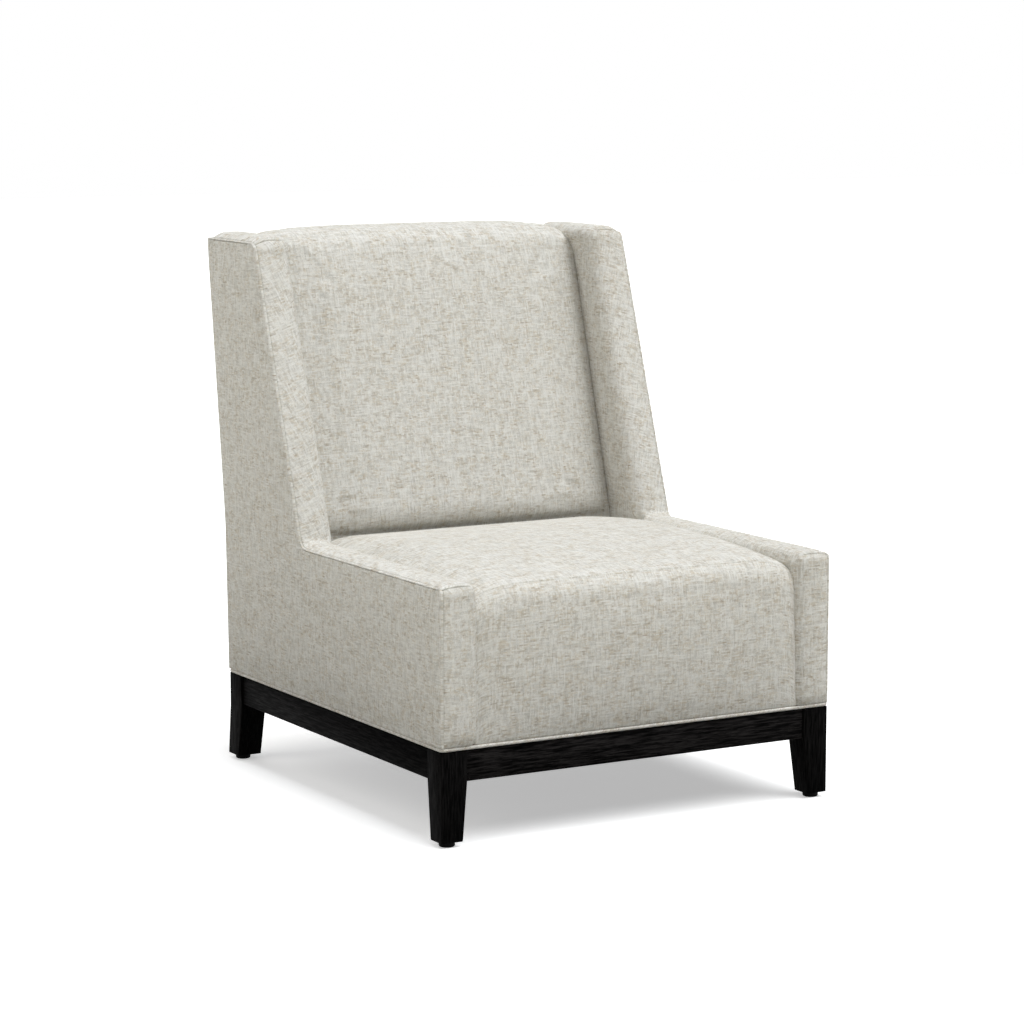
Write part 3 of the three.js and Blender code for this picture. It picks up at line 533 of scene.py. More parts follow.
def make_wrap():
    inner = inner_x + inner_gap
    piece = arm_and_wing("right_arm_and_wing", inner, seam_x + spare_width, hidden_inset)
    open_up(piece)
    for height in front_rim_heights:
        slice_all((0, 0, foot + height), (0, 0, 1))
    close_up()
    rim = lambda a, b: near(a.x, inner) and near(b.x, inner) and (
        near(a.z + b.z, 2 * arm_height) and a.y < wing_foot_y + 0.001 and b.y < wing_foot_y + 0.001
        or abs(depth_inside(a.y, a.z)) < 0.0005 and abs(depth_inside(b.y, b.z)) < 0.0005)
    top_rim = lambda a, b: (near(a.x, inner) and near(b.x, inner) and near(a.z + b.z, 2 * wing_top)
                            and min(a.y, b.y) > wing_top_y - 0.001)
    rims = [(rim, inner_roll), (top_rim, top_inner_roll)]
    for low, high, radius in zip((0,) + front_rim_heights, front_rim_heights + (1,), front_rim_radii):
        rims.append((lambda a, b, low=low, high=high: (
            near(a.x, inner) and near(b.x, inner) and near(a.y, front) and near(b.y, front)
            and low < (a.z + b.z) / 2 - foot < high), radius))
    round_edges(piece, outline_corners() + [bend_corner(hidden_inset)] + rims)
    even_mesh(piece)
    swell(piece, wrap_held, wrap_limit)
    return piece


right_wrap = make_wrap()
print(right_wrap.name, len(right_wrap.data.polygons), "faces")


# %% Trimming the wrap at its seam
def finish_wrap(piece):
    refine(piece)
    reach_down(piece, foot)
    open_up(piece)
    for back_off in (0, 0.15, 0.45, 1):
        slice_all((seam_x - back_off * seam_turn, 0, 0), (1, 0, 0))
    close_up()
    places, normals = places_of(piece.data), normals_of(piece.data)
    into_turn = np.clip((places[:, 0] - (seam_x - seam_turn)) / seam_turn, 0, 1)
    normals[:, 0] = 0
    length = np.maximum(np.linalg.norm(normals, axis=1), 0.5)
    sink = seam_turn * (1 - np.sqrt(1 - into_turn ** 2))
    put_places(piece.data, places - normals * (sink / length)[:, None])
    open_up(piece)
    slice_all((seam_x, 0, 0), (1, 0, 0), clear=True, fill=True)
    close_up()


def front_corner(places):
    """Distance from the seam across the top of the arm's front."""
    return np.where(np.abs(places[:, 0]) > inner_x + 0.008,
                    ((places[:, 1] - front) - (arm_height - places[:, 2]) - 0.002) / np.sqrt(2), 1)


def wing_corner(places):
    lean = slope_out + (0, 1)
    lean = lean / np.linalg.norm(lean)
    off = lean[0] * (places[:, 2] - wing_top) - lean[1] * (places[:, 1] - wing_top_y)
    return np.where(np.abs(places[:, 0]) > inner_x + 0.008, off, 1)


def wrap_cloth(places, middles):
    x, y, z = places.T
    stretch = stretch_of(middles[:, 1], middles[:, 2])
    over = np.clip(np.abs(x) - inner_x, 0, None)
    flat = np.stack([y, z], axis=1) + outward[stretch] * over[:, None]
    return flat[:, 0], flat[:, 1], np.where(stretch == 0, 0.4, np.where(stretch == 3, 0.8, 0.0))


finish_wrap(right_wrap)
sew(right_wrap, front_corner, depth=0.003, ridge=0.0003)
sew(right_wrap, wing_corner, depth=0.002, ridge=0.0003)
print(right_wrap.name, len(right_wrap.data.polygons), "faces after trimming")


# %% The other arm
def mirrored(piece, name):
    only(piece)
    bpy.ops.object.duplicate()
    twin = bpy.context.object
    twin.name = twin.data.name = name
    twin.scale.x = -1
    bpy.ops.object.transform_apply(location=True, rotation=True, scale=True)
    open_up(twin)
    bpy.ops.mesh.select_all(action="SELECT")
    bpy.ops.mesh.normals_make_consistent(inside=False)
    close_up()
    return twin


left_wrap = mirrored(right_wrap, "left_arm_and_wing")
dress(right_wrap, wrap_cloth, 1.0)
dress(left_wrap, wrap_cloth, 3.0)
print("both arms")


# %% [markdown]
# The outside panel of an arm is one flat piece of cloth over wadding and board, sewn to the wrap and
# rolled a little at its edges. It is a thin plate with the same outline. A grid of cuts gives it enough
# faces to swell, and its swelling grows over the first few centimetres from the edge.

# %% Outside panels
panel_swell, panel_ripple = 0.0025, 0.0004
panel_roll = 0.0016
edge_roll, edge_roll_width = 0.0028, 0.0075
edge_rows = (0.0006, 0.0008, 0.0008, 0.0016, 0.0026)   # rows of faces for the roll and the stitching
grid_step = 0.014


def cut_grid(piece, axis, low, high):
    normal = Vector((0, 0, 0))
    normal[axis] = 1
    for step in range(1, int((high - low) / grid_step)):
        slice_all(normal * (low + step * grid_step), normal)


def ripple(places, size):
    """A slight unevenness in stretched cloth, the same on every run."""
    x, y, z = places.T / size
    return (np.sin(1.3 * y + 0.7 * z) * np.sin(0.9 * z - 0.5 * y + 0.4 * x)
            + 0.5 * np.sin(2.9 * y - 1.1 * z + 1.7 * x) * np.sin(2.3 * z + 0.6 * x)) / 1.5


def outside_depth(y, z):
    return np.minimum(np.minimum(depth_inside(y, z), z - foot), rear_line(z) - y)


def make_panel():
    outer = panel_low.x + cover
    piece = arm_and_wing("right_outside_panel", panel_low.x, outer, 0)
    round_edges(piece, outline_corners() + [bend_corner(0)])
    open_up(piece)
    pick(piece, lambda place, normal: normal.x > 0.9)
    bpy.ops.mesh.region_to_loop()
    bpy.ops.mesh.bevel(offset=panel_roll, segments=3, affect="EDGES")
    pick(piece, lambda place, normal: normal.x > 0.99)
    for width in edge_rows:
        bpy.ops.mesh.inset(thickness=width)
    cut_grid(piece, 1, front, rear_top)
    cut_grid(piece, 2, foot, wing_top)
    close_up()
    places = places_of(piece.data)
    depth = outside_depth(places[:, 1], places[:, 2])
    seam_depth = depth_inside(places[:, 1], places[:, 2])
    raised = panel_swell * soft_step(depth, 0.004, 0.04)
    raised += panel_ripple * ripple(places, 0.05) * soft_step(depth, 0.01, 0.06)
    rolled = 1 - np.sqrt(1 - np.clip(1 - seam_depth / edge_roll_width, 0, 0.95) ** 2)
    level = np.isin(stretch_of(places[:, 1], places[:, 2]), (1, 3))
    stitched = np.abs(seam_depth - 0.003) < 0.0003
    raised = raised - edge_roll * rolled - 0.0022 * (stitched & level) + 0.0003 * (stitched & ~level)
    on_outer = places[:, 0] > panel_low.x + 0.001
    places[:, 0] += raised * on_outer * np.clip((places[:, 0] - panel_low.x) / cover, 0, 1)
    put_places(piece.data, places)
    return piece


def side_cloth(places, middles):
    return places[:, 1], places[:, 2], 0.0


right_panel = make_panel()
left_panel = mirrored(right_panel, "left_outside_panel")
dress(right_panel, side_cloth, 5.0)
dress(left_panel, side_cloth, 7.0)
print(right_panel.name, len(right_panel.data.polygons), "faces")


# %% [markdown]
# The outside back is one more plain panel, between the two outside panels. It slants a little behind the
# seat and leans back further, with the frame, above the bend.

# %% Outside back panel
def make_rear_panel():
    half = seam_x
    piece = block("outside_back_panel", (-half, rear_foot - cover, foot), (half, rear_foot, wing_top))
    open_up(piece)
    slice_all((0, 0, bend_height), (0, 0, 1))
    pick(piece, lambda place: place.z > bend_height - 0.0005, "VERT")
    shift((0, bend_y - rear_foot, 0))
    pick(piece, lambda place: near(place.z, wing_top), "VERT")
    shift((0, rear_top - bend_y, 0))
    close_up()
    round_edges(piece, [(lambda a, b: near(a.z, bend_height) and near(b.z, bend_height)
                         and (a.y > bend_y - 0.001 and b.y > bend_y - 0.001), bend_radius)])
    open_up(piece)
    cut_grid(piece, 0, -half, half)
    cut_grid(piece, 2, foot, wing_top)
    pick(piece, lambda place, normal: normal.y > 0.9)
    bpy.ops.mesh.region_to_loop()
    bpy.ops.mesh.bevel(offset=panel_roll, segments=3, affect="EDGES")
    close_up()
    places, normals = places_of(piece.data), normals_of(piece.data)
    depth = np.minimum(half - np.abs(places[:, 0]), np.minimum(places[:, 2] - foot, wing_top - places[:, 2]))
    raised = ripple(places, 0.06) * 0.0005 * soft_step(depth, 0.01, 0.08)
    places[:, 1] += (raised - panel_roll * 0.3 * (1 - soft_step(depth, 0, 0.03))) * (normals[:, 1] > 0.5)
    put_places(piece.data, places)
    return piece


def level_cloth(places, middles):
    return places[:, 0], places[:, 2], 0.0


rear_panel = make_rear_panel()
dress(rear_panel, level_cloth, 9.0)
print(rear_panel.name, len(rear_panel.data.polygons), "faces")


# %% [markdown]
# The seat is one tight pad: crowned on top, rolled over at the front and down to the welt. Its ends roll
# down to the arms, which leaves the soft valleys beside them. A seam runs across the front roll.

# %% Seat
seat_half = seat_high.x
seat_front_top = arm_height - 0.003
seat_rear_top = arm_height - 0.001
seat_roll = 0.030
seat_end_width, seat_end_drop, seat_valley = 0.046, 0.020, 0.009
seat_crown, seat_front_bow = 0.020, 0.005
seat_shoulder_radius, seat_upright_radius = 0.030, 0.022
seat_seam_turn = 1.12        # where the seam lies round the front roll, in radians above level


def make_seat():
    piece = block("seat_pad", (-seat_half, front, foot), (seat_half, seat_high.y, seat_front_top))
    open_up(piece)
    for side in (-1, 1):
        slice_all((side * (seat_half - seat_end_width), 0, 0), (1, 0, 0))
    pick(piece, lambda place: near(abs(place.x), seat_half) and near(place.z, seat_front_top), "VERT")
    shift((0, 0, -seat_end_drop))
    for low_end, depth in ((True, seat_valley * 0.2), (False, seat_valley)):
        pick(piece, lambda place: near(abs(place.x), seat_half) and near(place.y, front)
             and (place.z < foot + 0.1) == low_end, "VERT")
        shift((0, depth, 0))
    pick(piece, lambda place: near(place.y, seat_high.y) and place.z > foot + 0.1, "VERT")
    shift((0, 0, seat_rear_top - seat_front_top))
    close_up()
    top_front = lambda a, b: max(a.y, b.y) < front + 0.01 and min(a.z, b.z) > foot + 0.1
    crease = seat_half - seat_end_width
    along = lambda a, b: near(abs(a.x), crease) and near(abs(b.x), crease) and abs(a.y - b.y) > 0.1
    upright = lambda a, b: (near(abs(a.x), crease) and near(abs(b.x), crease) and abs(a.z - b.z) > 0.1
                            and a.y < front + 0.01)
    rim = lambda a, b: near(abs(a.x), seat_half) and near(abs(b.x), seat_half) and (
        abs(a.y - b.y) > 0.1 and a.z > foot + 0.1 or abs(a.z - b.z) > 0.1 and a.y < front + 0.01)
    low_front = lambda a, b: near(a.z, foot) and near(b.z, foot) and max(a.y, b.y) < front + 0.01
    round_edges(piece, [(top_front, seat_roll), (along, seat_shoulder_radius), (upright, seat_upright_radius),
                        (rim, 0.004), (low_front, 0.002)])
    even_mesh(piece)
    swell(piece, seat_held, seat_limit)
    refine(piece)
    meet(piece, seat_half, reach=0.005, lip=0)
    reach_down(piece, foot)
    return piece


def seat_held(places):
    x, y, z = places.T
    return ((np.abs(x) > seat_half - 0.002) | (z < foot + 0.003) | (y > seat_high.y - 0.003)).astype(float)


def seat_limit(places):
    x, y, z = places.T
    fall = end_roll(x, seat_half, seat_end_width)
    middle = 1 - (x / seat_half) ** 2
    back_share = (y - front) / (seat_high.y - front)
    top = seat_crown * (1 - fall) * bow(back_share)
    face_share = (z - foot) / (seat_front_top - seat_roll - foot)
    face = seat_front_bow * middle * bow(face_share) + 0.002 * middle * soft_step(face_share, 0, 0.15)
    height = np.clip((z - (seat_front_top - seat_end_drop - seat_roll)) / (seat_roll + seat_end_drop), 0, 1)
    rise = np.where(back_share < 0.06, height, 1)
    return np.where(z < foot + 0.1, face, top * rise + face * (1 - rise))


def seat_roll_middle(x):
    fall = end_roll(x, seat_half, seat_end_width)
    return front + seat_roll + seat_valley * fall, seat_front_top - seat_roll - seat_end_drop * fall


def from_seat_seam(places):
    x, y, z = places.T
    middle_y, middle_z = seat_roll_middle(x)
    turn = np.arctan2(z - middle_z, middle_y - y)
    on_face = (np.abs(x) < seat_half - 0.006) & (y < front + 0.06)
    return np.where(on_face, (turn - seat_seam_turn) * seat_roll, 1)


def seat_cloth(places, middles):
    middle_y, middle_z = seat_roll_middle(places[:, 0])
    above = from_seat_seam(middles) > 0
    along = path_length(places[:, 1], places[:, 2], (middle_y, middle_z), seat_roll, (0, 1))
    return places[:, 0], along, np.where(above, 0.5, 0.0)


seat = make_seat()
sew(seat, from_seat_seam, depth=0.0007, ridge=0.0006)
dress(seat, seat_cloth, 11.0)
print(seat.name, len(seat.data.polygons), "faces")


# %% [markdown]
# The back is one tight pad between the wings. It starts below the seat, leans back, rolls over its crest
# and ends at the outside back. Its shoulders roll down to the wings. The hidden rear side follows the
# straps.

# %% Back
back_half = back_high.x
back_top = wing_top - 0.002
crest_radius = 0.034
shoulder_width, shoulder_drop = 0.044, 0.020
back_crown, crest_bow, crest_lift = 0.005, 0.0085, 0.010
shoulder_fullness, valley_softness = 2.6, 1.5
foot_roll = 0.036


def make_back():
    tuck = back_low.y
    strap_low = (front + 0.690, arm_height + 0.047)
    strap_high = (front + 0.752, wing_top - 0.039)
    strap_lean = (strap_high[0] - strap_low[0]) / (strap_high[1] - strap_low[1])
    strap_y = lambda z: strap_low[0] + (z - strap_low[1]) * strap_lean
    leave = valley_low[1] - (valley_low[0] - tuck) / back_lean[0] * back_lean[1]
    rail_top = strap_high[1] + 0.0253
    sections = [(leave, tuck, strap_y(leave)), (valley_low[1], valley_low[0], strap_y(valley_low[1])),
                (valley_high[1], valley_high[0], strap_y(valley_high[1])),
                (rail_top, valley_y(rail_top), strap_y(rail_top)),
                (back_top, valley_y(back_top), strap_y(rail_top))]
    piece = block("back_pad", (-back_half, tuck, back_low.z), (back_half, strap_y(back_low.z), leave))
    open_up(piece)
    top, front_edge, rear_edge = leave, tuck, strap_y(back_low.z)
    for height, section_front, section_rear in sections:
        if height > top:
            pick(piece, lambda place, normal: normal.z > 0.9)
            extrude((0, 0, height - top))
        pick(piece, lambda place: near(place.z, height) and near(place.y, front_edge), "EDGE")
        shift((0, section_front - front_edge, 0))
        pick(piece, lambda place: near(place.z, height) and near(place.y, rear_edge), "EDGE")
        shift((0, section_rear - rear_edge, 0))
        top, front_edge, rear_edge = height, section_front, section_rear
    pick(piece, lambda place, normal: normal.y > 0.9 and place.z > rail_top)
    extrude((0, back_high.y - strap_y(rail_top), 0))
    close_up()
    crest_front = valley_y(back_top)
    crest = lambda a, b: near(a.z, back_top) and near(b.z, back_top) and near(a.y + b.y, 2 * crest_front)
    sides = lambda a, b: (near(abs(a.x), back_half) and near(a.x, b.x) and near(a.z, back_top)
                          and near(b.z, back_top))
    shoulders = lambda a, b: (near(abs(a.x), back_half) and near(a.x, b.x) and a.z > leave - 0.001
                              and b.z > leave - 0.001 and abs(a.y - valley_y(a.z)) < 0.001
                              and abs(b.y - valley_y(b.z)) < 0.001)
    round_edges(piece, [(crest, crest_radius), (sides, 0.012), (shoulders, 0.002)])
    even_mesh(piece)
    swell(piece, back_held, back_limit)
    refine(piece)
    meet(piece, back_half, reach=0.009, lip=0.004)
    return piece


def back_held(places):
    x, y, z = places.T
    hidden = (y - valley_y(z) > 0.05) & (z < back_top - 0.03)
    rear = (y > back_high.y - 0.002) & (z < back_top - 0.004)
    return ((np.abs(x) > back_half - 0.0015) & (z < back_top - 0.02) | (z < back_low.z + 0.003) | hidden
            | rear).astype(float)


def quarter_round(into):
    """From 1 to 0 along a quarter of a round roll, as into goes from 0 to 1."""
    return np.sqrt(1 - np.clip(into, 0, 1) ** 2)


def back_limit(places):
    x, y, z = places.T
    sideways = np.clip((np.abs(x) - (back_half - shoulder_width)) / shoulder_width, 0, 1)
    upwards = np.clip((z - (back_top - 0.07)) / 0.07, 0, 1)
    downwards = 1 - (z - valley_low[1]) / foot_roll
    share = (np.abs(x) / back_half) ** 2
    shoulder = (1 - np.minimum(np.hypot(sideways, 0.8 * upwards), 1) ** shoulder_fullness) ** valley_softness
    face = back_crown * (1 - share) + shoulder_drop * shoulder
    face = face * (0.05 + 0.95 * quarter_round(downwards))
    top = crest_bow * (1 - share ** 2) + crest_lift * (1 - sideways ** 2) ** 1.5
    to_rear = np.clip((y - (back_high.y - 0.02)) / 0.02, 0, 1)
    rise = soft_step(z, back_top - 0.1, back_top)
    return face * (1 - rise) + top * rise * quarter_round(to_rear)


def back_cloth(places, middles):
    centre_z = back_top - crest_radius
    centre = (valley_y(centre_z) + crest_radius, centre_z)
    along = path_length(places[:, 1], places[:, 2], centre, crest_radius, back_lean)
    return places[:, 0], along, 0.0


back = make_back()
dress(back, back_cloth, 13.0)
print(back.name, len(back.data.polygons), "faces")


# %% [markdown]
# The welt is a cord in a narrow strip of the same cloth, cut on the bias, round the foot of the
# upholstery. It is drawn as a loop with rounded corners, turned into a curve and given the cord's
# thickness.

# %% Welt
welt_radius = 0.00275
welt_corner = 0.006


def make_welt():
    low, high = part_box("bottom_welt")
    middle = (low + high) / 2
    bpy.ops.object.select_all(action="DESELECT")
    bpy.ops.mesh.primitive_plane_add(size=1, location=middle)
    piece = bpy.context.object
    piece.scale = (high.x - low.x - 2 * welt_radius, high.y - low.y - 2 * welt_radius, 1)
    piece = named("welt")
    open_up(piece)
    bpy.ops.mesh.select_all(action="SELECT")
    bpy.ops.mesh.delete(type="ONLY_FACE")
    bpy.ops.mesh.select_all(action="SELECT")
    bpy.ops.mesh.bevel(offset=welt_corner, segments=5, affect="VERTICES")
    close_up()
    bpy.ops.object.convert(target="CURVE")
    piece = bpy.context.object
    piece.data.bevel_depth = welt_radius
    piece.data.bevel_resolution = 3
    bpy.ops.object.convert(target="MESH")
    piece = bpy.context.object
    piece.name = piece.data.name = "welt"
    bpy.ops.object.shade_smooth()
    return piece


def welt_cloth(places, middles):
    low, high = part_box("bottom_welt")
    middle = (low + high) / 2
    on_side = np.abs(places[:, 0]) > high.x - 2 * welt_radius - 0.001
    out = np.where(on_side, np.abs(places[:, 0]) - (high.x - welt_radius),
                   np.abs(places[:, 1] - middle.y) - ((high.y - low.y) / 2 - welt_radius))
    round_cord = np.arctan2(places[:, 2] - middle.z, out) * welt_radius
    length = np.where(on_side, places[:, 1], places[:, 0])
    return (length + round_cord) * 0.707, (length - round_cord) * 0.707, 0.0


welt = make_welt()
lay_cloth(welt, welt_cloth, 15.0)
print(welt.name, len(welt.data.polygons), "faces")


# %% [markdown]
# The base is black stained wood: four legs and four rails. The front legs taper on their two inner faces,
# and the rear legs sweep back below the knee. Each starts as a block, is cut across where its shape
# changes, and its foot is moved in. All long edges are eased, so that they catch a thin light.

# %% Legs and rails
leg_ease = 0.0013
rail_ease = 0.001
front_foot = (0.0375, 0.035)     # width and depth
rear_foot_size = (0.0425, 0.038)
knee_height = 0.092


def ease(piece, width):
    only(piece)
    bevel = piece.modifiers.new("ease", "BEVEL")
    bevel.limit_method = "ANGLE"
    bevel.angle_limit = 0.6
    bevel.width = width
    bevel.segments = 3
    bevel.harden_normals = True
    apply(piece, bevel)
    bpy.ops.object.shade_smooth_by_angle(angle=0.5)


def make_leg(name, rail_name):
    low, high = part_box(name)
    rail_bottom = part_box(rail_name)[0].z
    inward = 1 if high.x < 0 else -1
    inner = high.x if inward > 0 else low.x
    at_front = low.y < 0
    foot_width, foot_depth = front_foot if at_front else rear_foot_size
    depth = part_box("front_left_leg")[1].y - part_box("front_left_leg")[0].y
    rear = high.y if at_front else low.y + depth
    piece = block(name + "_wood", (low.x, low.y, low.z), (high.x, rear, high.z))
    open_up(piece)
    slice_all((0, 0, rail_bottom), (0, 0, 1))
    if not at_front:
        slice_all((0, 0, knee_height), (0, 0, 1))
    pick(piece, lambda place: near(place.z, low.z) and near(place.x, inner), "VERT")
    shift((-inward * (high.x - low.x - foot_width), 0, 0))
    if at_front:
        pick(piece, lambda place: near(place.z, low.z) and near(place.y, rear), "VERT")
        shift((0, -(depth - foot_depth), 0))
    else:
        pick(piece, lambda place: near(place.z, low.z) and near(place.y, rear), "VERT")
        shift((0, high.y - rear, 0))
        pick(piece, lambda place: near(place.z, low.z) and near(place.y, low.y), "VERT")
        shift((0, high.y - foot_depth - low.y, 0))
    close_up()
    ease(piece, leg_ease)
    return piece


def make_rail(name):
    low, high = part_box(name)
    piece = block(name + "_wood", low, high)
    ease(piece, rail_ease)
    return piece


legs = {name: make_leg(name, "base_front_rail") for name in
        ("front_left_leg", "front_right_leg", "rear_left_leg", "rear_right_leg")}
rails = {name: make_rail(name) for name in
         ("base_front_rail", "base_rear_rail", "base_left_rail", "base_right_rail")}
print(len(legs), "legs", len(rails), "rails")


# %% [markdown]
# Underneath, a black cambric cloth is stapled to the frame to keep dust out. It is a thin sheet that sags
# a little between the rails.

# %% Dust cover
dust_sag = 0.004
dust_cuts = 24


def make_dust_cover():
    low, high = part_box("dust_cover")
    piece = block("dust_cambric", (low.x, low.y, high.z - 0.0004), (high.x, high.y, high.z))
    open_up(piece)
    for axis in (0, 1):
        for step in range(1, dust_cuts):
            normal = Vector((0, 0, 0))
            normal[axis] = 1
            slice_all(low + (high - low) * step / dust_cuts, normal)
    close_up()
    places = places_of(piece.data)
    share_x = (places[:, 0] - low.x) / (high.x - low.x)
    share_y = (places[:, 1] - low.y) / (high.y - low.y)
    inside = np.minimum(bow(share_x), bow(share_y))
    places[:, 2] -= dust_sag * inside * (0.8 + 0.2 * np.sin(places[:, 0] * 23) * np.sin(places[:, 1] * 17))
    put_places(piece.data, places)
    only(piece)
    bpy.ops.object.shade_smooth_by_angle(angle=1.0)
    return piece, (high.x - low.x, high.y - low.y)


dust_cambric, dust_size = make_dust_cover()
print(dust_cambric.name, [round(side, 3) for side in dust_size])


# %% [markdown]
# Finishes are drawn by shader nodes, so they need no picture files. A few small helpers place a node, set
# its values and link what comes in. What more than one finish uses is a node group with named sockets.

# %% Helpers for shader nodes
def put(tree, kind, inputs=None, **settings):
    made = tree.nodes.new("ShaderNode" + kind)
    for name, value in settings.items():
        setattr(made, name, value)
    for name, value in (inputs or {}).items():
        if isinstance(value, bpy.types.NodeSocket):
            tree.links.new(value, made.inputs[name])
        else:
            made.inputs[name].default_value = value
    return made


def calc(tree, operation, *values):
    made = put(tree, "Math", dict(enumerate(values)), operation=operation)
    return made.outputs[0]


def vector(tree, x, y, z):
    return put(tree, "CombineXYZ", {"X": x, "Y": y, "Z": z}).outputs[0]


def noise(tree, where, scale, detail=2.0, roughness=0.5):
    made = put(tree, "TexNoise", {"Vector": where, "Scale": scale, "Detail": detail, "Roughness": roughness})
    return made.outputs[0]


def remap(tree, value, low, high, to_low=0.0, to_high=1.0, smooth=True):
    made = put(tree, "MapRange", {"Value": value, "From Min": low, "From Max": high, "To Min": to_low,
                                  "To Max": to_high}, interpolation_type="SMOOTHSTEP" if smooth else "LINEAR")
    return made.outputs[0]


def blend(tree, share, first, second, kind="MIX"):
    made = put(tree, "Mix", {0: share, 6: first, 7: second}, data_type="RGBA", blend_type=kind)
    return made.outputs[2]


def linear(red, green, blue):
    """A colour as seen in a photograph, 0 to 255, as the linear colour that Blender works in."""
    seen_as = [((c / 255 + 0.055) / 1.055) ** 2.4 if c > 10 else c / 3294.6 for c in (red, green, blue)]
    return (*seen_as, 1)


def group(name, inputs, outputs):
    tree = bpy.data.node_groups.new(name, "ShaderNodeTree")
    for label, kind, value in inputs:
        socket = tree.interface.new_socket(label, in_out="INPUT", socket_type="NodeSocket" + kind)
        if value is not None:
            socket.default_value = value
    for label, kind in outputs:
        tree.interface.new_socket(label, in_out="OUTPUT", socket_type="NodeSocket" + kind)
    return tree, tree.nodes.new("NodeGroupInput").outputs, tree.nodes.new("NodeGroupOutput").inputs


print("node helpers ready")


# %% [markdown]
# The cloth is a plain weave of uneven yarns in cream, light grey and tan, as linen blends are. Every
# thread has a number, from its place on the flat cloth. Its tone is a noise that is drawn out along the
# thread and jumps from one thread to the next, so it makes short streaks both ways. Specks and larger
# patches lie over that.

# %% Linen weave
def linen_weave():
    tree, given, wanted = group(
        "linen weave",
        [("Cloth", "Vector", None), ("Pitch", "Float", 0.00125), ("Pale", "Color", (0.85, 0.85, 0.83, 1)),
         ("Shade", "Color", (0.4, 0.4, 0.37, 1)), ("Tan", "Color", (0.8, 0.7, 0.55, 1)),
         ("Slub", "Color", (0.88, 0.88, 0.86, 1)), ("Speck", "Color", (0.3, 0.24, 0.17, 1))],
        [("Color", "Color"), ("Height", "Float"), ("Roughness", "Float")])
    cloth, pitch = given["Cloth"], given["Pitch"]
    parts = put(tree, "SeparateXYZ", {0: cloth}).outputs
    drift = put(tree, "TexNoise", {"Vector": cloth, "Scale": 16.0, "Detail": 2.0}).outputs[1]
    drift = put(tree, "SeparateXYZ", {0: drift}).outputs
    threads = []
    for own, other, panel in ((0, 1, 1.0), (1, 0, 2.0)):
        wander = calc(tree, "MULTIPLY_ADD", drift[own], 0.006, parts[own])
        number = calc(tree, "DIVIDE", wander, pitch)
        whole = calc(tree, "FLOOR", number)
        within = calc(tree, "SUBTRACT", number, whole)
        pair = calc(tree, "FLOOR", calc(tree, "MULTIPLY", number, 0.55))
        depth = calc(tree, "MULTIPLY_ADD", parts[2], 9.7, panel)

        def streaks(count, step, per_metre, detail=1.0):
            across = calc(tree, "MULTIPLY", count, step)
            spot = vector(tree, across, calc(tree, "MULTIPLY", parts[other], per_metre), depth)
            return noise(tree, spot, 1.0, detail)

        threads.append({"whole": whole, "round": calc(tree, "SINE", calc(tree, "MULTIPLY", within, 3.14159)),
                        "yarn": streaks(whole, 7.31, 75.0), "pair": streaks(pair, 5.17, 55.0, 2.0),
                        "slub": streaks(pair, 9.13, 24.0), "tan": streaks(pair, 4.19, 85.0, 2.0),
                        "thin tan": streaks(whole, 3.57, 80.0, 2.0), "fibre": streaks(pair, 2.71, 80.0, 3.0)})
    warp, weft = threads
    over = calc(tree, "FLOORED_MODULO", calc(tree, "ADD", warp["whole"], weft["whole"]), 2.0)

    def on_top(part):
        return put(tree, "Mix", {0: over, 2: warp[part], 3: weft[part]}, data_type="FLOAT").outputs[0]

    def both(part):
        return calc(tree, "MULTIPLY", calc(tree, "ADD", warp[part], weft[part]), 0.5)

    def most(part, low, high, warp_share=1.0):
        """Where the thread of either direction passes the threshold."""
        return calc(tree, "MAXIMUM", remap(tree, weft[part], low, high),
                    calc(tree, "MULTIPLY", remap(tree, warp[part], low, high), warp_share))

    cloud = noise(tree, cloth, 110.0, 2.0, 0.5)
    tone = calc(tree, "MULTIPLY_ADD", both("pair"), 0.7, calc(tree, "MULTIPLY", on_top("yarn"), 0.2))
    grit = noise(tree, cloth, 560.0, 1.0)
    tone = calc(tree, "MULTIPLY_ADD", calc(tree, "SUBTRACT", grit, 0.5), 0.3, tone)
    tone = calc(tree, "MULTIPLY_ADD", cloud, 0.1, tone)
    color = blend(tree, remap(tree, tone, 0.36, 0.58, smooth=False), given["Shade"], given["Pale"])
    elsewhere = put(tree, "VectorMath", {0: cloth, 1: (3.3, 1.7, 9.1)}, operation="ADD").outputs[0]
    patch = remap(tree, noise(tree, elsewhere, 48.0, 2.0, 0.6), 0.36, 0.62, 0.25, 1.0)
    thin_tan = calc(tree, "MULTIPLY", most("thin tan", 0.53, 0.65, 0.7), 0.9)
    tan = calc(tree, "MAXIMUM", most("tan", 0.55, 0.65, 0.5), thin_tan)
    color = blend(tree, calc(tree, "MULTIPLY", calc(tree, "MULTIPLY", tan, patch), 0.66), color, given["Tan"])
    color = blend(tree, calc(tree, "MULTIPLY", most("slub", 0.55, 0.66), 0.36), color, given["Slub"])
    fibre = calc(tree, "MULTIPLY", most("fibre", 0.54, 0.68, 0.6), patch)
    color = blend(tree, calc(tree, "MULTIPLY", fibre, 0.48), color, given["Speck"])
    gap_shade = remap(tree, on_top("round"), 0.0, 0.75, 0.9, 1.0)
    color = blend(tree, 1.0, color, vector(tree, gap_shade, gap_shade, gap_shade), "MULTIPLY")
    tree.links.new(color, wanted["Color"])
    tree.links.new(calc(tree, "MULTIPLY_ADD", on_top("yarn"), 0.5, on_top("round")), wanted["Height"])
    tree.links.new(remap(tree, tone, 0.4, 0.8, 0.95, 0.82), wanted["Roughness"])
    return tree


weave_group = linen_weave()
print(weave_group.name, len(weave_group.nodes), "nodes")


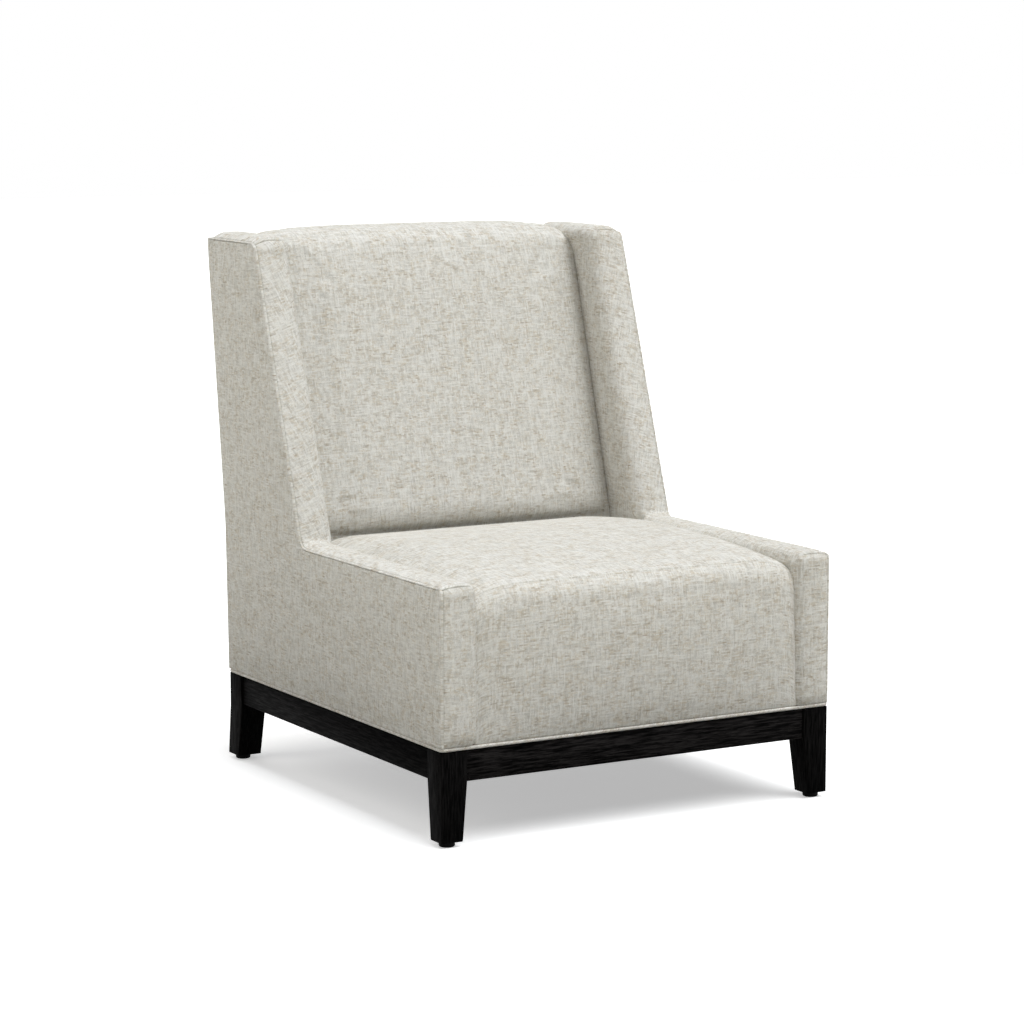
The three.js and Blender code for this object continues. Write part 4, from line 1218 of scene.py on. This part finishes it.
# %% Cloth finishes
def finish(name, **fixed):
    material = bpy.data.materials.new(name)
    material.use_nodes = True
    tree = material.node_tree
    shader = tree.nodes["Principled BSDF"]
    for label, value in fixed.items():
        shader.inputs[label.replace("_", " ")].default_value = value
    return material, tree, shader


def bump(tree, shader, height, strength, distance):
    made = put(tree, "Bump", {"Height": height, "Strength": strength, "Distance": distance})
    tree.links.new(made.outputs[0], shader.inputs["Normal"])


def linen(name, lighter, pitch):
    material, tree, shader = finish(name, Sheen_Weight=0.08, Sheen_Roughness=0.5, Specular_IOR_Level=0.2)
    cloth = put(tree, "Attribute", attribute_name="cloth", attribute_type="GEOMETRY").outputs["Vector"]
    weave = put(tree, "Group", node_tree=weave_group)
    for label, value in (("Pale", (230, 229, 223)), ("Shade", (190, 188, 181)), ("Tan", (200, 188, 166)),
                         ("Slub", (238, 238, 235)), ("Speck", (146, 128, 102))):
        weave.inputs[label].default_value = linear(*(min(c + lighter, 240) for c in value))
    weave.inputs["Pitch"].default_value = pitch
    tree.links.new(cloth, weave.inputs["Cloth"])
    tree.links.new(weave.outputs["Color"], shader.inputs["Base Color"])
    tree.links.new(weave.outputs["Roughness"], shader.inputs["Roughness"])
    bump(tree, shader, weave.outputs["Height"], 0.5, 0.0005)
    return material


linen_cloth = linen("heathered linen", 0, 0.00125)
# painted light: the welt is the same cloth, painted six levels lighter
welt_linen_painted_lighter = linen("heathered linen of the welt, painted lighter", 6, 0.0009)
print("cloth finishes")


# %% [markdown]
# Wood is drawn from its grain: noise drawn out along the board gives the fibres, and short dark dashes
# give the open pores. The group puts out a grain and a pore mask, and each wood mixes its own colours
# with them.

# %% Wood grain
def wood_grain():
    tree, given, wanted = group(
        "wood grain", [("Place", "Vector", None), ("Along", "Vector", (1, 1, 1)), ("Fineness", "Float", 1.0)],
        [("Grain", "Float"), ("Pores", "Float"), ("Figure", "Float")])
    drawn = put(tree, "VectorMath", {0: given["Place"], 1: given["Along"]}, operation="MULTIPLY").outputs[0]
    drawn = put(tree, "VectorMath", {0: drawn, "Scale": given["Fineness"]}, operation="SCALE").outputs[0]
    tree.links.new(noise(tree, drawn, 420.0, 4.0, 0.65), wanted["Grain"])
    tree.links.new(remap(tree, noise(tree, drawn, 900.0, 2.0, 0.6), 0.58, 0.68), wanted["Pores"])
    tree.links.new(noise(tree, drawn, 60.0, 2.0), wanted["Figure"])
    return tree


grain_group = wood_grain()


def wood(name, dark, light, along, roughness, bump_height=0.0003, fineness=1.0, specular=0.3):
    material, tree, shader = finish(name, Specular_IOR_Level=specular)
    place = put(tree, "TexCoord").outputs["Object"]
    grain = put(tree, "Group", node_tree=grain_group)
    grain.inputs["Along"].default_value = along
    grain.inputs["Fineness"].default_value = fineness
    tree.links.new(place, grain.inputs["Place"])
    share = remap(tree, grain.outputs["Grain"], 0.38, 0.66)
    color = blend(tree, share, linear(*dark), linear(*light))
    color = blend(tree, calc(tree, "MULTIPLY", grain.outputs["Pores"], 0.6), color, linear(*dark))
    color = blend(tree, remap(tree, grain.outputs["Figure"], 0.4, 0.7, 0.0, 0.3), color, linear(*dark))
    tree.links.new(color, shader.inputs["Base Color"])
    tree.links.new(remap(tree, grain.outputs["Grain"], 0.35, 0.7, roughness + 0.1, roughness - 0.08),
                   shader.inputs["Roughness"])
    height = calc(tree, "SUBTRACT", grain.outputs["Grain"], grain.outputs["Pores"])
    bump(tree, shader, height, 0.6, bump_height)
    return material


upright, sideways, lengthwise = (1, 1, 0.07), (0.07, 1, 1), (1, 0.07, 1)
black = dict(roughness=0.6, specular=0.013)
black_upright = wood("black stained wood upright", (0, 0, 0), (26, 25, 25), upright, **black)
# painted light: the same black stain as the legs, painted lighter on the rails across the front and back
black_across_painted_lighter = wood("black stained wood across, painted lighter", (2, 2, 2), (45, 43, 43), sideways, **black)
# painted shade: the same black stain as the legs, painted darker on the side rails
black_lengthwise_painted_darker = wood("black stained wood lengthwise, painted darker", (0, 0, 0), (18, 17, 17), lengthwise, **black)
hardwood = wood("plain hardwood", (150, 112, 74), (198, 160, 116), sideways, 0.6)
plywood = wood("birch plywood", (176, 140, 98), (214, 184, 142), lengthwise, 0.6)
hardboard = wood("hardboard", (92, 66, 42), (128, 96, 64), (0.5, 1, 0.5), 0.7, fineness=1.6)
print("woods")


# %% [markdown]
# The parts under the cloth are seen only from below or when the chair is taken apart, but each still has
# its own finish: moulded nylon, zinc plate, oiled spring wire, elastic webbing, felt and non-woven
# cambric.

# %% Fine surface
def fine_surface():
    tree, given, wanted = group(
        "fine surface", [("Place", "Vector", None), ("Size", "Float", 800.0)],
        [("Speckle", "Float"), ("Cloud", "Float"), ("Height", "Float")])
    fine = noise(tree, given["Place"], given["Size"], 3.0, 0.6)
    tree.links.new(remap(tree, fine, 0.35, 0.65), wanted["Speckle"])
    coarse = calc(tree, "MULTIPLY", given["Size"], 0.06)
    tree.links.new(noise(tree, given["Place"], coarse, 3.0), wanted["Cloud"])
    tree.links.new(fine, wanted["Height"])
    return tree


fine_group = fine_surface()


def plain(name, dark, light, roughness, size, metallic=0.0, bump_height=0.0001, specular=0.4):
    material, tree, shader = finish(name, Metallic=metallic, Specular_IOR_Level=specular)
    surface = put(tree, "Group", node_tree=fine_group)
    surface.inputs["Size"].default_value = size
    tree.links.new(put(tree, "TexCoord").outputs["Object"], surface.inputs["Place"])
    color = blend(tree, surface.outputs["Speckle"], linear(*dark), linear(*light))
    color = blend(tree, remap(tree, surface.outputs["Cloud"], 0.4, 0.7, 0.0, 0.35), color, linear(*dark))
    tree.links.new(color, shader.inputs["Base Color"])
    tree.links.new(remap(tree, surface.outputs["Cloud"], 0.3, 0.7, roughness - 0.08, roughness + 0.08),
                   shader.inputs["Roughness"])
    bump(tree, shader, surface.outputs["Height"], 0.5, bump_height)
    return material


finishes = {
    "hardwood": hardwood,
    "plywood": plywood,
    "fibreboard": hardboard,
    "nylon": plain("black nylon", (4, 4, 4), (14, 14, 14), 0.55, 1400.0, specular=0.05),
    "zinc_steel": plain("zinc plate", (150, 152, 156), (196, 198, 202), 0.35, 900.0, metallic=1.0),
    "spring_steel": plain("oiled spring wire", (70, 68, 66), (112, 110, 108), 0.4, 600.0, metallic=1.0),
    "webbing": plain("elastic webbing", (26, 26, 28), (58, 58, 61), 0.85, 1800.0, bump_height=0.0003),
    "felt": plain("pressed felt", (112, 108, 102), (160, 156, 150), 0.95, 500.0, bump_height=0.0006),
    "cambric": plain("black cambric", (14, 14, 16), (40, 40, 43), 0.9, 2400.0, bump_height=0.0002),
}
print(len(finishes), "hidden finishes")


# %% Finishes on every piece
def give(piece, material):
    piece.data.materials.clear()
    piece.data.materials.append(material)


for subpart in frame["record"]["subparts"]:
    node = frame["nodes"][subpart["node"]]
    if subpart["material_slot"] in finishes:
        for place in range(len(node.material_slots)):
            node.material_slots[place].material = finishes[subpart["material_slot"]]

for piece in (left_wrap, right_wrap, left_panel, right_panel, rear_panel, seat, back):
    give(piece, linen_cloth)
give(welt, welt_linen_painted_lighter)
give(dust_cambric, finishes["cambric"])
for leg in legs.values():
    give(leg, black_upright)
# rails across get the black stain painted lighter, side rails the one painted darker, as painted light and
# shade
for name, rail in rails.items():
    give(rail, black_across_painted_lighter if name in ("base_front_rail", "base_rear_rail") else black_lengthwise_painted_darker)
print("all pieces finished")


# %% [markdown]
# Each piece says which solids of the frame it stands for, which hides them, and rides on the chair's one
# body.

# %% Places in the frame
stands_for = {
    left_wrap: ("left_side_cover", "left_side_pad"),
    right_wrap: ("right_side_cover", "right_side_pad"),
    left_panel: ("left_outside_cover",),
    right_panel: ("right_outside_cover",),
    rear_panel: ("outside_back_cover",),
    seat: ("seat_cover", "seat_foam"),
    back: ("back_cover", "back_foam"),
    welt: ("bottom_welt",),
    dust_cambric: ("dust_cover",),
}
stands_for.update({leg: (name,) for name, leg in legs.items()})
stands_for.update({rail: (name,) for name, rail in rails.items()})
for piece, nodes in stands_for.items():
    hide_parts(*nodes)
    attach(piece, "root")
print(len(stands_for), "pieces placed")


# %% [markdown]
# The studio is plain: a pale floor, a soft lamp overhead that keeps the shadow under the chair, a large
# one at the front right, and weaker ones at the left and behind. For the light that it throws back, the
# floor is painted dark close to the chair and a little warm, a painted shadow, so the upholstery darkens
# towards its foot. To the camera the floor is lifted and all round it is white.

# %% Floor
bpy.ops.object.select_all(action="DESELECT")
bpy.ops.mesh.primitive_plane_add(size=40, location=(0, 0, 0))
floor = named("studio_floor")
floor_material, floor_tree, floor_shader = finish("pale floor", Roughness=0.9, Specular_IOR_Level=0.0)
seen = put(floor_tree, "LightPath").outputs
seen = calc(floor_tree, "MAXIMUM", calc(floor_tree, "MAXIMUM", seen["Is Camera Ray"], seen["Is Glossy Ray"]),
            seen["Is Transmission Ray"])
on_floor = put(floor_tree, "TexCoord").outputs["Object"]
from_chair = put(floor_tree, "VectorMath", {0: on_floor}, operation="LENGTH")
# painted shadow: for the light it throws back, the floor is painted dark near the chair and a little warm
bounce_painted_shadow = remap(floor_tree, from_chair.outputs["Value"], 0.5, 1.1, 0.04, 0.9)
bounce_painted_shadow = vector(floor_tree, bounce_painted_shadow, calc(floor_tree, "MULTIPLY", bounce_painted_shadow, 0.975),
                 calc(floor_tree, "MULTIPLY", bounce_painted_shadow, 0.9))
floor_tree.links.new(blend(floor_tree, seen, bounce_painted_shadow, (0.9, 0.9, 0.9, 1)), floor_shader.inputs["Base Color"])
lift = put(floor_tree, "Emission", {"Strength": calc(floor_tree, "MULTIPLY", seen, 0.46)})
both = put(floor_tree, "AddShader", {0: floor_shader.outputs[0], 1: lift.outputs[0]})
floor_tree.links.new(both.outputs[0], floor_tree.nodes["Material Output"].inputs["Surface"])
give(floor, floor_material)
print("floor", floor.name)


# %% Light
def soft_sun(name, comes_from, share, width, color=(1, 1, 1)):
    """share is the brightness that it gives a white face turned to it."""
    data = bpy.data.lights.new(name, "SUN")
    data.energy = share * np.pi
    data.color = color
    data.angle = width
    lamp = bpy.data.objects.new(name, data)
    scene.collection.objects.link(lamp)
    lamp.rotation_euler = (-Vector(comes_from)).to_track_quat("-Z", "Y").to_euler()
    lamp.location = comes_from
    return lamp


soft_sun("overhead", (0.0, -0.1, 3.0), 0.27, 0.4, (0.98, 1, 1.035))
soft_sun("front right", (0.9, -1.15, 2.6), 0.77, 0.9, (0.988, 1, 1.008))
soft_sun("left", (-2.3, -0.3, 1.9), 0.235, 0.9, (1, 0.985, 0.95))
soft_sun("rear", (0.0, 2.6, 1.5), 0.26, 0.9)

world = bpy.data.worlds.new("white studio")
scene.world = world
world.use_nodes = True
world_tree = world.node_tree
surroundings = world_tree.nodes["Background"]
surroundings.inputs["Color"].default_value = (1, 1, 1, 1)
paths = put(world_tree, "LightPath").outputs
shown = calc(world_tree, "MAXIMUM", paths["Is Camera Ray"], paths["Is Glossy Ray"])
shown = calc(world_tree, "MAXIMUM", shown, paths["Is Transmission Ray"])
strength = put(world_tree, "MapRange", {"Value": shown, "To Min": 0.06, "To Max": 1.0}).outputs[0]
world_tree.links.new(strength, surroundings.inputs["Strength"])
scene.view_settings.view_transform = "Standard"
